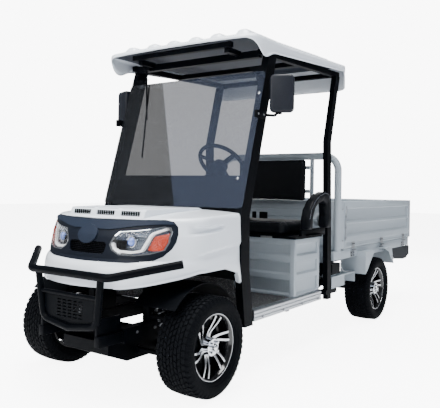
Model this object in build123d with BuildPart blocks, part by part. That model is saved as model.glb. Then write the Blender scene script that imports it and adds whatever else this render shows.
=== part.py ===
from build123d import *
from math import cos, degrees, radians, sin, tan
import os

# Two-seat utility golf cart with a roof and a drop-side cargo bed.
# Millimetres. +Z up, +X to the vehicle's left, the front faces -Y.
# The origin lies on the floor, under the middle of the overall box.

os.makedirs("parts", exist_ok=True)

# ---------------------------------------------------------------- driving dimensions
FRONT_AXLE_Y = -1598.5
WHEELBASE = 2555.0
WHEEL_R = 286.0
TYRE_W = 232.0
FRONT_TRACK_X = 570.0
REAR_TRACK_X = 565.0
RIM_R = 181.0
STEER_X = 472.0


def at(station):
    """Y of a station that is measured rearwards from the front axle."""
    return FRONT_AXLE_Y + station


REAR_AXLE_Y = at(WHEELBASE)

BED_HALF_W = 607.0
BED_FRONT, BED_REAR = at(1920), at(3655)
BED_BOTTOM, BED_TOP = 690.0, 1088.0
BED_PANEL_T = 30.0
BED_HINGE_X, BED_HINGE_Z = 617.0, 672.0
TAILGATE_HINGE_Y = at(3702)
PRESS_LINES = (1030.0, 930.0, 800.0)

POST_X = 600.0
SEAT_FRONT, SEAT_REAR = at(1085), at(1500)
SEAT_BOX_X, SEAT_BOX_TOP = 580.0, 818.0
LID_HINGE_Y, LID_HINGE_Z = at(1512), 828.0
FLOOR_TOP = 400.0

COLUMN_ANGLE = 45.0
COLUMN_LENGTH = 270.0
GRIP_FLATS = 6
TUBE_FLATS = 12
SMALL_FLATS = 8
DRUM_FLATS = 18
BEND_STEPS = 3
WHEEL_HUB = (250.0, at(625), 1345.0)
STEERING_R = 165.0


# ---------------------------------------------------------------- helpers
def save(piece, node):
    """Label a finished piece with its node's name and write its file."""
    piece.part.label = node
    export_step(piece.part, f"parts/{node}.step")


def slab(x, y, z, mode=Mode.ADD):
    """A box between pairs of limits, in the piece being built."""
    with Locations(((x[0] + x[1]) / 2, (y[0] + y[1]) / 2, (z[0] + z[1]) / 2)):
        return Box(x[1] - x[0], y[1] - y[0], z[1] - z[0], mode=mode)


def tube(points, radius, bend=0.0):
    """A bar of TUBE_FLATS flats along straight runs, each corner turned in BEND_STEPS mitred steps."""
    path = [Vector(*points[0])]
    for before, corner, after in zip(points, points[1:], points[2:]):
        here = Vector(*corner)
        back = (Vector(*before) - here).normalized()
        onward = (Vector(*after) - here).normalized()
        half = radians(180 - back.get_angle(onward)) / 2
        centre = here + (back + onward).normalized() * bend / cos(half)
        start = here + back * bend * tan(half) - centre
        turn = back.cross(onward)
        for step in range(BEND_STEPS + 1):
            path.append(centre + start.rotate(Axis((0, 0, 0), turn),
                                              -degrees(half) * 2 * step / BEND_STEPS))
    path.append(Vector(*points[-1]))
    with BuildPart() as bar:
        with BuildLine() as run:
            Polyline(*path)
        with BuildSketch(Plane(origin=run.line @ 0, z_dir=run.line % 0)):
            RegularPolygon(radius, TUBE_FLATS)
        sweep(transition=Transition.RIGHT)
    return bar.part


def faceted_bar(start, end, radius, flats=TUBE_FLATS):
    """A straight bar of that many flats from start to end."""
    run = Vector(*end) - Vector(*start)
    with BuildPart() as bar:
        with BuildSketch(Plane(origin=start, z_dir=run)):
            RegularPolygon(radius, flats)
        extrude(amount=run.length)
    return bar.part


def square_bar(start, end, width, depth, side=(1, 0, 0)):
    """A square bar from start to end. width lies along side, depth across it."""
    run = Vector(*end) - Vector(*start)
    with BuildPart() as bar:
        with BuildSketch(Plane(origin=start, x_dir=side, z_dir=run)):
            Rectangle(width, depth)
        extrude(amount=run.length)
    return bar.part


def side_prism(points, x):
    """A (Y, Z) outline drawn out between two X limits."""
    with BuildPart() as prism:
        with BuildSketch(Plane.YZ.offset(x[0])):
            with BuildLine():
                Polyline(*points, close=True)
            make_face()
        extrude(amount=x[1] - x[0])
    return prism.part


def both_sides(part):
    """The part and its mirror image about the centre plane."""
    return [part, part.mirror(Plane.YZ)]


# ---------------------------------------------------------------- chassis
RAIL_X = (200.0, 260.0)
RAIL_PROFILE = ((at(-300), 300), (at(1590), 300), (at(1740), 500), (at(3610), 500),
                (at(3610), 580), (at(1700), 580), (at(1550), 384), (at(-300), 384))
# station, low z, high z, half width
CROSSMEMBERS = ((-280, 300, 384, 200), (400, 300, 380, 550), (1040, 300, 380, 548), (1590, 310, 384, 530),
                (1800, 500, 575, 540), (2990, 500, 575, 540), (3590, 500, 575, 540))
SKID_PROFILE = ((at(-350), 300), (at(-350), 232), (at(-200), 170), (at(70), 170), (at(92), 200), (at(92),
                                                                                                  300))

rails = both_sides(side_prism(RAIL_PROFILE, RAIL_X))
skid = side_prism(SKID_PROFILE, (-185, 185))
with BuildPart() as chassis_frame:
    add(rails)
    for station, low, high, half in CROSSMEMBERS:
        slab((-half, half), (at(station), at(station + 40)), (low, high))
    add(skid)
    for side in (-1, 1):
        slab((side * 539 - 59, side * 539 + 59), (at(1700), at(1860)), (496, 581))
save(chassis_frame, "chassis_frame")

# lower arms, upper arms and coil-over shocks
ARM_LOW = ((196, at(-110), 222), (STEER_X, at(0), 184), (196, at(76), 222))
ARM_HIGH = ((240, at(-80), 420), (STEER_X, at(0), 406), (240, at(80), 420))
SHOCK = ((392, at(-30), 196), (236, at(-30), 566))
arm_parts = []
for arm in (ARM_LOW, ARM_HIGH):
    arm_parts.append(square_bar(arm[0], arm[1], 26, 30, side=(0, 0, 1)))
    arm_parts.append(square_bar(arm[2], arm[1], 26, 30, side=(0, 0, 1)))
COIL = ((350, at(-30), 296), (272.3, at(-30), 480.3))
COIL_R, ROD_R = 36.0, 14.0
shock_parts = [faceted_bar(*SHOCK, ROD_R, SMALL_FLATS), faceted_bar(*COIL, COIL_R)]
with BuildPart() as front_suspension:
    for arm in arm_parts + shock_parts:
        add(both_sides(arm))
    for side in (-1, 1):
        slab((side * 230 - 25, side * 230 + 25), (at(-100), at(100)), (384, 585))
        for station in (-110, 70):
            slab((side * 193 - 8, side * 193 + 8), (at(station - 18), at(station + 18)), (200, 245))
        for height in (184, 406):
            add(faceted_bar((side * STEER_X, at(0), height - 12), (side * STEER_X, at(0), height + 12), 24,
                            SMALL_FLATS))
save(front_suspension, "front_suspension")

# rear axle with its differential, drum brakes and the drive motor
# radius, half length of what lies across the axle; drums and motor follow
AXLE_BODIES = ((36, 450), (88, 85))
DRUM_R, DRUM_X = 95.0, (430, 480)
MOTOR_R, MOTOR_Y, MOTOR_Z = 92.0, (REAR_AXLE_Y + 40, REAR_AXLE_Y + 300), WHEEL_R + 20
with BuildPart() as rear_axle:
    for radius, half in AXLE_BODIES:
        add(faceted_bar((-half, REAR_AXLE_Y, WHEEL_R), (half, REAR_AXLE_Y, WHEEL_R), radius))
    with Locations(Location((0, REAR_AXLE_Y, WHEEL_R), (0, 90, 0))):
        Cylinder(17, 1290)
    for side in (-1, 1):
        add(faceted_bar((side * DRUM_X[0], REAR_AXLE_Y, WHEEL_R), (side * DRUM_X[1], REAR_AXLE_Y,
                                                                   WHEEL_R), DRUM_R,
                        DRUM_FLATS))
    add(faceted_bar((0, MOTOR_Y[0], MOTOR_Z), (0, MOTOR_Y[1], MOTOR_Z), MOTOR_R, DRUM_FLATS))
save(rear_axle, "rear_axle")

SPRING_LINE = ((360, at(2060), 470), (360, at(2400), 352), (360, at(2710), 352), (360, at(3060), 470))
LEAF_T, LEAF_LOW, LEAF_HIGH = 8.0, 348.0, 470.0
# how far each leaf lies under the first, and how much shorter it is at each end
LEAVES = ((0, 0), (9, 110), (18, 200))
leaf_parts = []
for drop, trim in LEAVES:
    upper = []
    for share in (-1, -0.66, -0.33, 0, 0.33, 0.66, 1):
        leaf_y = (SPRING_LINE[0][1] + SPRING_LINE[3][1]) / 2 + share * (at(2560) - at(2060) - trim)
        bow = (share * (1 - trim / 500)) ** 2
        upper.append((leaf_y, LEAF_LOW + LEAF_T + (LEAF_HIGH - LEAF_LOW) * bow - drop))
    lower = [(leaf_y, height - LEAF_T) for leaf_y, height in reversed(upper)]
    leaf_parts.append(side_prism(upper + lower, (330, 390)))
with BuildPart() as rear_suspension:
    for leaf in leaf_parts:
        add(both_sides(leaf))
    for side in (-1, 1):
        for station in (2060, 3060):
            slab((side * 360 - 34, side * 360 + 34), (at(station - 18), at(station + 18)), (455, 505))
        slab((side * 360 - 40, side * 360 + 40), (REAR_AXLE_Y - 45, REAR_AXLE_Y + 45), (290, 345))
    add(faceted_bar((-450, REAR_AXLE_Y, WHEEL_R), (450, REAR_AXLE_Y, WHEEL_R), 36), mode=Mode.SUBTRACT)
save(rear_suspension, "rear_suspension")

with BuildPart() as battery_pack:
    slab((-480, 480), (at(1130), at(1440)), (404, 690))
save(battery_pack, "battery_pack")

# ---------------------------------------------------------------- floor and sills
TOE_BOARD = ((at(440), 386), (at(440), 400), (at(352), 640), (at(338), 636), (at(424), 386))
toe = side_prism(TOE_BOARD, (-540, 540))
with BuildPart() as floor_pan:
    slab((-548, 548), (at(430), at(1548)), (386, FLOOR_TOP))
    add(toe)
save(floor_pan, "floor_pan")

SILL_PROFILE = ((549, 330), (600, 330), (600, 348), (594, 352), (600, 356), (600, 372),
                (594, 376), (600, 380), (600, 394), (594, FLOOR_TOP), (549, FLOOR_TOP))
with BuildPart() as sill:
    with BuildSketch(Plane.XZ.offset(-at(516))):
        with BuildLine():
            Polyline(*SILL_PROFILE, close=True)
        make_face()
    extrude(amount=-(1500 - 516))
with BuildPart() as side_sills:
    add(both_sides(sill.part))
save(side_sills, "side_sills")

# ---------------------------------------------------------------- nose
# height, centre station, station and x at the end of the bow, station where the side starts, half width
NOSE_SECTIONS = ((600, -458, -388, 310, 0, 594),
                 (700, -440, -375, 310, 0, 600),
                 (770, -372, -322, 310, 0, 600),
                 (900, -345, -294, 310, 15, 596),
                 (1100, -235, -188, 310, 40, 588))
NOSE_REAR = 350.0
# how far the middle of each corner lies in from the flank and forward of halfway along it
CORNER_IN, CORNER_FORWARD = 85.0, 30.0
NOSE_PROFILE = ((-600, 619), (-390, 622), (-250, 660), (-70, 700), (180, 703), (312, 667), (338, 600),
                (338, 490), (345, 490), (345, 1042), (60, 1032), (-150, 1015), (-215, 1001), (-600, 940))


def nose_form(inset, chords=False):
    """The closed nose, every wall moved inwards by inset, its bows plain chords where nobody looks."""
    with BuildPart() as form:
        for height, centre, bow_end, bow_x, side_start, half in NOSE_SECTIONS:
            middle = (0, at(centre + inset))
            with BuildSketch(Plane.XY.offset(height)):
                with BuildLine():
                    if chords:
                        Polyline((-bow_x, at(bow_end + inset)), middle, (bow_x, at(bow_end + inset)))
                    else:
                        ThreePointArc((-bow_x, at(bow_end + inset)), middle, (bow_x, at(bow_end + inset)))
                    for side in (-1, 1):
                        bow = (side * bow_x, at(bow_end + inset))
                        corner = (side * (half - CORNER_IN - inset),
                                  at((bow_end + side_start) / 2 - CORNER_FORWARD + inset))
                        flank = (side * (half - inset), at(side_start))
                        if chords:
                            Polyline(bow, corner, flank)
                        else:
                            ThreePointArc(bow, corner, flank)
                        Line(flank, (side * (half - inset), at(NOSE_REAR + 20)))
                    Line((-half + inset, at(NOSE_REAR + 20)), (half - inset, at(NOSE_REAR + 20)))
                make_face()
        loft(ruled=True)
    return form.part


def nose_side(inset):
    """The nose's side outline drawn out across it, its top lowered by inset."""
    points = []
    for station, height in NOSE_PROFILE:
        lowered = height - inset if height > 900 else height - (0 if inset == 0 else 20)
        points.append((at(station), lowered))
    return side_prism(points, (-700, 700))


outer = nose_form(0) & nose_side(0)
inner = nose_form(6, chords=True) & nose_side(5)

# outline of the dark fascia, seen from the front: x, z
FASCIA_OUTLINE = ((0, 988), (330, 992), (458, 990), (508, 955), (514, 880), (486, 815), (420, 768), (300,
                                                                                                     757),
                  (0, 755))
FASCIA_CORNER = 24.0


def front_prism(outline, grow=0.0, corner=FASCIA_CORNER, depth=(-620, -80)):
    """A symmetric outline of the front, drawn through the nose."""
    with BuildPart() as prism:
        with BuildSketch(Plane.XZ.offset(-at(depth[0]))):
            with BuildLine():
                Polyline(*outline, *[(-x, z) for x, z in reversed(outline[1:-1])], close=True)
            make_face()
            fillet(vertices().sort_by(Axis.X)[:3] + vertices().sort_by(Axis.X)[-3:], corner)
            if grow:
                offset(amount=grow)
        extrude(amount=-(depth[1] - depth[0]))
    return prism.part


fascia_cut = front_prism(FASCIA_OUTLINE)
proud = nose_form(-4) & fascia_cut
recess = nose_form(17, chords=True)

# lamp outline on the left: x, z
LAMP_OUTLINE = ((172, 868), (190, 902), (240, 936), (430, 952), (476, 958), (489, 930), (476, 850), (457,
                                                                                                     822),
                (394, 803), (250, 798), (200, 815))


def lamp_prism(grow=0.0):
    """The left lamp's outline drawn through the nose."""
    with BuildPart() as prism:
        with BuildSketch(Plane.XZ.offset(-at(-620))):
            with BuildLine():
                Polyline(*LAMP_OUTLINE, close=True)
            make_face()
            if grow:
                offset(amount=grow)
        extrude(amount=-560)
    return prism.part


lamp_hole = lamp_prism()
lamp_body = lamp_prism(-1)

# three louvred intakes in the steep step of the hood, white ribs between them: centre x
VENT_XS = (-201.0, 0.0, 201.0)
VENT_W, VENT_H, VENT_Z = 150.0, 27.0, 1020.0
VENT_COLUMNS, VENT_ROWS, VENT_BAR = 7, 1, 6.0
HOOD_STEP = ((at(-262), 970), (at(-240), 996), (at(-219), 1003), (at(-203), 1040), (at(300), 1050),
             (at(300), 960),
             (at(-200), 960))
HOOD_RIB = ((at(-206), 1036), (at(-186), 1052), (at(60), 1055), (at(240), 1047), (at(240), 1036))
HOOD_RIB_XS = (-100.5, 100.5)
hood_bulge = side_prism(HOOD_STEP, (-310, 310))
hood_core = side_prism([(y + 6, z - 5) for y, z in HOOD_STEP], (-305, 305))

with BuildPart() as front_cowl:
    add(outer)
    add(hood_bulge)
    for rib_x in HOOD_RIB_XS:
        add(side_prism(HOOD_RIB, (rib_x - 16, rib_x + 16)))
    add(inner, mode=Mode.SUBTRACT)
    add(hood_core, mode=Mode.SUBTRACT)
    add(fascia_cut, mode=Mode.SUBTRACT)
    for vent_x in VENT_XS:
        slab((vent_x - VENT_W / 2, vent_x + VENT_W / 2), (at(-300), at(-190)), (VENT_Z - VENT_H / 2,
                                                                                VENT_Z + VENT_H / 2),
             mode=Mode.SUBTRACT)
save(front_cowl, "front_cowl")

with BuildPart() as hood_vents:
    with BuildSketch(Plane.XZ.offset(-at(-203))):
        for vent_x in VENT_XS:
            with Locations((vent_x, VENT_Z)):
                Rectangle(VENT_W - 1, VENT_H - 1)
                with GridLocations(VENT_W / VENT_COLUMNS, VENT_H / VENT_ROWS, VENT_COLUMNS, VENT_ROWS):
                    Rectangle(VENT_W / VENT_COLUMNS - VENT_BAR, VENT_H / VENT_ROWS - VENT_BAR,
                              mode=Mode.SUBTRACT)
    extrude(amount=-4)
save(hood_vents, "hood_vents")

# lighter brow over the fascia, the bare oval badge plate and the honeycomb: x, z
BROW_OUTLINE = ((0, 988), (330, 992), (458, 990), (486, 968), (430, 966), (300, 957), (225, 944), (190,
                                                                                                   934),
                                                                                                   (0, 937))
BADGE_Z, BADGE_W, BADGE_H = 904.0, 150.0, 108.0
MESH_Z, MESH_CELL, MESH_COLUMNS, MESH_ROWS = 826.0, 20.0, 7, 2
MESH_HOLE = 17.0
brow = nose_form(-9) & front_prism(BROW_OUTLINE, corner=10)
with BuildPart() as badge_prism:
    with BuildSketch(Plane.XZ.offset(-at(-620))):
        with Locations((0, BADGE_Z)):
            Ellipse(BADGE_W / 2, BADGE_H / 2)
    extrude(amount=-540)
badge = nose_form(-14) & badge_prism.part
with BuildPart() as mesh_holes:
    with BuildSketch(Plane.XZ.offset(-at(-620))):
        with Locations((0, MESH_Z)):
            with HexLocations(MESH_CELL, MESH_COLUMNS, MESH_ROWS):
                RegularPolygon(MESH_HOLE, 6)
    extrude(amount=-540)

with BuildPart() as front_fascia:
    add(proud)
    add(brow)
    add(badge)
    add(mesh_holes.part, mode=Mode.SUBTRACT)
    add(recess, mode=Mode.SUBTRACT)
    add(both_sides(lamp_hole), mode=Mode.SUBTRACT)
save(front_fascia, "front_fascia")

lamp_form = (nose_form(-5) & lamp_body) - nose_form(60, chords=True)
with BuildPart() as headlights:
    add(both_sides(lamp_form))
save(headlights, "headlights")

# ---------------------------------------------------------------- brush guard
GUARD_R, HOOP_TUBE_R, CROSS_R = 23.0, 20.0, 12.0
GUARD_BAR = ((-603, at(-219), 766), (-317, at(-490), 692), (317, at(-490), 692), (603, at(-219), 766))
GUARD_U = ((-256, at(-484), 690), (-217, at(-470), 417), (0, at(-475), 387), (217, at(-470), 417),
           (256, at(-484), 690))
GUARD_PLATE = ((-236, 560), (236, 560), (205, 430), (0, 398), (-205, 430))
guard_bar = tube(GUARD_BAR, GUARD_R, 60)
guard_hoop = tube(GUARD_U, HOOP_TUBE_R, 50)
guard_cross = faceted_bar((-240, at(-478), 572), (240, at(-478), 572), CROSS_R)
with BuildPart() as plate:
    with BuildSketch(Plane.XZ.offset(-at(-470))):
        with BuildLine():
            Polyline(*GUARD_PLATE, close=True)
        make_face()
        with Locations((0, 490)):
            with GridLocations(44, 24, 5, 4):
                Rectangle(30, 9, mode=Mode.SUBTRACT)
    extrude(amount=-3)
with BuildPart() as brush_guard:
    add(guard_bar)
    add(guard_hoop)
    add(guard_cross)
    add(plate.part)
    for side in (-1, 1):
        slab((side * 230 - 20, side * 230 + 20), (at(-480), at(-301)), (310, 370))
        slab((side * 222 - 8, side * 222 + 8), (at(-480), at(-301)), (370, 460))
save(brush_guard, "brush_guard")

# dark inner arches over the front wheels
LINER_OUTER, LINER_INNER = 352.0, 347.0
with BuildPart() as liner:
    with Locations(Location((440, at(0), WHEEL_R), (0, 90, 0))):
        Cylinder(LINER_OUTER, 290)
        Cylinder(LINER_INNER, 290, mode=Mode.SUBTRACT)
    with Locations(Location((293, at(0), WHEEL_R), (0, 90, 0))):
        Cylinder(LINER_OUTER, 6)
    slab((200, 700), (at(-400), at(400)), (-100, 520), mode=Mode.SUBTRACT)
with BuildPart() as wheel_liners:
    add(both_sides(liner.part))
save(wheel_liners, "wheel_liners")

# ---------------------------------------------------------------- posts, glass and roof frame
POST_OUT = 600.0
A_POST_T, A_POST_D = 50.0, 96.0
B_POST_OUT, B_POST_T, B_POST_D = 597.0, 40.0, 70.0
A_POST = ((at(455), 310), (at(400), 670), (at(393), 1010), (at(706), 2090))
B_POST = ((at(1657), 310), (at(1612), 1560), (at(1768), 2150))
ROOF_RAIL = ((at(600), 2076), (at(1820), 2126))


def bent_post(points, x, depth):
    """A straight-sided post along (Y, Z) points, depth wide in Y."""
    front = [(y - depth / 2, z) for y, z in points]
    back = [(y + depth / 2, z) for y, z in reversed(points)]
    return side_prism(front + back, x)


roof_rails = []
above_rails = []
for side in (-1, 1):
    start, end = [(side * 560, y, z) for y, z in ROOF_RAIL]
    roof_rails.append(square_bar(start, end, 40, 40))
    above_rails.append(square_bar((start[0], start[1] - 50, start[2] + 98), (end[0], end[1] + 50,
                                                                             end[2] + 102), 120, 240))

# gusset plates in the top corners of the glass
GUSSET = ((-552, 1860), (-552, 1990), (-440, 1990), (-500, 1950))
with BuildPart() as gusset:
    with BuildSketch(Plane.XZ):
        with BuildLine():
            Polyline(*GUSSET, close=True)
        make_face()
    extrude(amount=2000, both=True)
gusset_sheet = side_prism(((at(590), 1855), (at(594), 1855), (at(636), 2000), (at(632), 2000)), (-700, 700))

with BuildPart() as front_posts:
    add(both_sides(bent_post(A_POST, (POST_OUT - A_POST_T, POST_OUT), A_POST_D)))
    add(both_sides(gusset_sheet & gusset.part))
    add(above_rails, mode=Mode.SUBTRACT)
save(front_posts, "front_posts")

with BuildPart() as rear_posts:
    add(both_sides(bent_post(B_POST, (B_POST_OUT - B_POST_T, B_POST_OUT), B_POST_D)))
    for side in (-1, 1):
        slab((side * 568 - 32, side * 568 + 32), (at(1590), at(1790)), (350, 384))
    add(above_rails, mode=Mode.SUBTRACT)
save(rear_posts, "rear_posts")

# outline in the glass's own plane: x, distance up the glass from its foot
GLASS_FOOT = (at(347), 1053)
GLASS_TOP = (at(607), 1950)
GLASS_T = 5.0
glass_run = Vector(0, GLASS_TOP[0] - GLASS_FOOT[0], GLASS_TOP[1] - GLASS_FOOT[1])
glass_plane = Plane(origin=(0, *GLASS_FOOT), x_dir=(1, 0, 0), z_dir=Vector(1, 0, 0).cross(glass_run))
with BuildPart() as windshield:
    with BuildSketch(glass_plane):
        with Locations((0, glass_run.length / 2)):
            RectangleRounded(2 * POST_OUT, glass_run.length, 25)
    extrude(amount=GLASS_T)
save(windshield, "windshield")

# wiper motor on the roof's front crossbar: x, y, z; then the blade's ends in the glass's own plane
WIPER_MOTOR = (-425.0, at(588), 2068.0)
BLADE_PLAN = ((-424, 930), (-336, 353))
ARM_MEET = (-380, 649)
blade_plane = glass_plane.offset(GLASS_T + 9)
arm_plane = glass_plane.offset(GLASS_T + 18)
blade_ends = [tuple(blade_plane.from_local_coords((*end, 0))) for end in BLADE_PLAN]
arm_end = tuple(arm_plane.from_local_coords((*ARM_MEET, 0)))
with BuildPart() as wiper:
    add(square_bar(WIPER_MOTOR, arm_end, 14, 8))
    add(square_bar(*blade_ends, 10, 14))
    slab((WIPER_MOTOR[0] - 26, WIPER_MOTOR[0] + 26), (at(574), at(605)), (2044, 2090))
save(wiper, "wiper")

with BuildPart() as roof_frame:
    add(roof_rails)
    for station, height, half in ((625, 2067, 23), (1150, 2099, 18), (1780, 2124, 18)):
        slab((-545, 545), (at(station - 20), at(station + 20)), (height - half, height + half))
    slab((-430, 430), (at(442), at(476)), (2094, 2128))
    for side in (-1, 1):
        slab((side * 380 - 17, side * 380 + 17), (at(470), at(620)), (2066, 2100))
save(roof_frame, "roof_frame")

# ---------------------------------------------------------------- roof
ROOF_HALF_W = 650.0
ROOF_FRONT, ROOF_REAR = at(360), at(1868)
ROOF_WALL = 5.0
# the brim's lower edge and the shoulder above it, seen from the side: y, z
ROOF_SIDE = ((ROOF_FRONT, 2122), (at(400), 2114), (at(440), 2080), (at(478), 2038), (at(525), 2019),
             (at(565), 2030),
             (at(620), 2055), (at(700), 2064), (at(1244), 2102), (at(1765), 2138), (at(1800), 2060),
             (at(1812), 2006), (ROOF_REAR, 2000),
             (ROOF_REAR, 2186), (at(1774), 2194), (at(856), 2152), (at(470), 2150), (ROOF_FRONT, 2146))
ROOF_BROW_X, ROOF_BROW_Y = 500.0, at(376)
ROOF_CORNER = (612.0, at(405))
ROOF_CORNER_Y = at(490)
ROOF_REAR_CORNER = 110.0
# the raised middle of the roof: y, z, then its half width at foot and top
CROWN_SIDE = ((at(440), 2140), (at(520), 2178), (at(1735), 2224), (at(1765), 2150))
CROWN_FOOT_X, CROWN_TOP_X = 580.0, 545.0
RIB_XS = (97.0, 281.0, 491.0)
RIB_FOOT_W, RIB_TOP_W = 104.0, 62.0
RIB_TOP = ((at(470), 2160), (at(500), 2194), (at(560), 2204), (at(1700), 2240), (at(1750), 2200),
           (at(1750), 2150),
           (at(470), 2120))


def roof_form(inset):
    """The closed lower shell of the roof, every outer wall moved inwards by inset."""
    lowered = []
    for y, z in ROOF_SIDE:
        lowered.append((min(max(y, ROOF_FRONT + inset), ROOF_REAR - inset),
                        z - inset * (2 if z < 2140 else 1)))
    half = ROOF_HALF_W - inset
    rear = ROOF_REAR - inset
    corner = ROOF_REAR_CORNER - inset
    with BuildPart() as form:
        add(side_prism(lowered, (-half, half)))
        with BuildSketch(Plane.XY.offset(1900)):
            with BuildLine():
                ThreePointArc((-ROOF_BROW_X, ROOF_BROW_Y + inset), (0, ROOF_FRONT + inset),
                              (ROOF_BROW_X, ROOF_BROW_Y + inset))
                for side in (-1, 1):
                    ThreePointArc((side * ROOF_BROW_X, ROOF_BROW_Y + inset),
                                  (side * (ROOF_CORNER[0] - inset), ROOF_CORNER[1] + inset),
                                  (side * half, ROOF_CORNER_Y))
                    Line((side * half, ROOF_CORNER_Y), (side * half, rear - corner))
                    JernArc((side * half, rear - corner), (0, 1), corner, side * 90)
                Line((corner - half, rear), (half - corner, rear))
            make_face()
        extrude(amount=500, mode=Mode.INTERSECT)
    return form.part


def tapered_ridge(outline, foot_x, top_x):
    """A side outline drawn across, its flanks drawn in from foot_x to top_x."""
    low = min(z for y, z in outline)
    high = max(z for y, z in outline)
    front = min(y for y, z in outline) - 1
    flank = [(-foot_x, low), (foot_x, low), (top_x, high), (-top_x, high)]
    with BuildPart() as ridge:
        with BuildSketch(Plane.XZ.offset(-front)):
            with BuildLine():
                Polyline(*flank, close=True)
            make_face()
        extrude(amount=-2000)
    return ridge.part & side_prism(outline, (-foot_x - 1, foot_x + 1))


crown = tapered_ridge(CROWN_SIDE, CROWN_FOOT_X, CROWN_TOP_X)
crown_core = tapered_ridge([(y, z - ROOF_WALL) for y, z in CROWN_SIDE], CROWN_FOOT_X - ROOF_WALL,
                           CROWN_TOP_X - ROOF_WALL)
rib = tapered_ridge(RIB_TOP, RIB_FOOT_W / 2, RIB_TOP_W / 2)
with BuildPart() as roof_panel:
    add(roof_form(0))
    add(crown)
    for rib_x in RIB_XS:
        for side in (-1, 1):
            add(Pos(side * rib_x, 0, 0) * rib)
    add(roof_form(ROOF_WALL), mode=Mode.SUBTRACT)
    add(crown_core, mode=Mode.SUBTRACT)
save(roof_panel, "roof_panel")

# ---------------------------------------------------------------- mirrors
MIRROR_TURN = radians(22)
MIRROR_FACE = Plane(origin=(712, at(620), 1796), x_dir=(cos(MIRROR_TURN), sin(MIRROR_TURN), 0),
                    z_dir=(-sin(MIRROR_TURN), cos(MIRROR_TURN), 0))
MIRROR_W, MIRROR_H, MIRROR_T, MIRROR_CORNER = 160.0, 250.0, 58.0, 34.0
with BuildPart() as mirror_unit:
    with BuildSketch(MIRROR_FACE):
        Rectangle(MIRROR_W, MIRROR_H)
        chamfer(vertices(), MIRROR_CORNER)
        chamfer(vertices(), MIRROR_CORNER / 4)
    extrude(amount=MIRROR_T)
    chamfer(faces().sort_by(Axis((0, 0, 0), MIRROR_FACE.z_dir))[0].edges(), 10)
    add(tube(((612, at(560), 1653), (668, at(628), 1653), (690, at(640), 1720)), 10, 20))
    slab((600, 622), (at(470), at(575)), (1628, 1678))
with BuildPart() as mirrors:
    add(both_sides(mirror_unit.part))
save(mirrors, "mirrors")

# ---------------------------------------------------------------- dashboard, column, pedals
DASH_PROFILE = ((at(372), 860), (at(372), 1050), (at(412), 1195), (at(470), 1262), (at(545), 1248),
                (at(560), 1180),
                (at(500), 1120), (at(480), 860))
COLUMN_DIR = Vector(0, sin(radians(COLUMN_ANGLE)), cos(radians(COLUMN_ANGLE)))
hub = Vector(*WHEEL_HUB)
column_foot = hub - COLUMN_DIR * COLUMN_LENGTH
with BuildPart() as steering_column:
    with BuildSketch(Plane(origin=column_foot, z_dir=COLUMN_DIR)):
        RegularPolygon(24, SMALL_FLATS)
    extrude(amount=COLUMN_LENGTH - 42)
    with BuildSketch(Plane(origin=hub - COLUMN_DIR * 150, x_dir=(1, 0, 0), z_dir=COLUMN_DIR)):
        Rectangle(92, 104)
        chamfer(vertices(), 20)
    extrude(amount=100)
save(steering_column, "steering_column")

with BuildPart() as dashboard:
    add(side_prism(DASH_PROFILE, (-548, 548)))
    add(steering_column.part, mode=Mode.SUBTRACT)
save(dashboard, "dashboard")

with BuildPart() as steering_wheel:
    with BuildSketch(Plane(origin=hub, x_dir=(1, 0, 0), z_dir=(0, COLUMN_DIR.Z, -COLUMN_DIR.Y))):
        with Locations((STEERING_R, 0)):
            RegularPolygon(15, GRIP_FLATS)
    revolve(axis=Axis(hub, COLUMN_DIR))
    with BuildSketch(Plane(origin=hub - COLUMN_DIR * 38, x_dir=(1, 0, 0), z_dir=COLUMN_DIR)):
        RegularPolygon(52, TUBE_FLATS)
    extrude(amount=34)
    for angle in (90, 210, 330):
        spoke_dir = Vector(cos(radians(angle)), 0, 0) + Vector(1, 0,
                                                               0).cross(COLUMN_DIR) * -sin(radians(angle))
        add(square_bar(tuple(hub - COLUMN_DIR * 14 + spoke_dir * 30),
                       tuple(hub - COLUMN_DIR * 4 + spoke_dir * (STEERING_R - 4)), 14, 34, side=COLUMN_DIR))
save(steering_wheel, "steering_wheel")

with BuildPart() as pedals:
    for pedal_x, pad_w in ((205, 60), (330, 46)):
        add(square_bar((pedal_x, at(392), 700), (pedal_x, at(452), 480), 14, 14))
        slab((pedal_x - pad_w / 2, pedal_x + pad_w / 2), (at(440), at(456)), (440, 520))
        slab((pedal_x - 20, pedal_x + 20), (at(350), at(400)), (690, 720))
save(pedals, "pedals")

# ---------------------------------------------------------------- seat
PANEL_BANDS = ((411, 520), (555, 650), (691, 779))
with BuildPart() as seat_box:
    slab((-SEAT_BOX_X, SEAT_BOX_X), (SEAT_FRONT, SEAT_REAR), (FLOOR_TOP, SEAT_BOX_TOP))
    slab((-SEAT_BOX_X + 22, SEAT_BOX_X - 22), (SEAT_FRONT + 22, SEAT_REAR - 12), (FLOOR_TOP + 4,
                                                                                  SEAT_BOX_TOP),
         mode=Mode.SUBTRACT)
    for low, high in PANEL_BANDS:
        slab((-SEAT_BOX_X + 38, SEAT_BOX_X - 38), (SEAT_FRONT - 1, SEAT_FRONT + 12), (low, high),
             mode=Mode.SUBTRACT)
        for side in (-1, 1):
            slab((side * SEAT_BOX_X - 12, side * SEAT_BOX_X + 12), (SEAT_FRONT + 38, SEAT_REAR - 38),
                 (low, high),
                 mode=Mode.SUBTRACT)
save(seat_box, "seat_box")

with BuildPart() as seat_base:
    slab((-598, 598), (at(1066), SEAT_REAR), (SEAT_BOX_TOP, 835))
    slab((-460, 460), (at(1110), SEAT_REAR - 30), (800, 840), mode=Mode.SUBTRACT)
save(seat_base, "seat_base")

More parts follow.
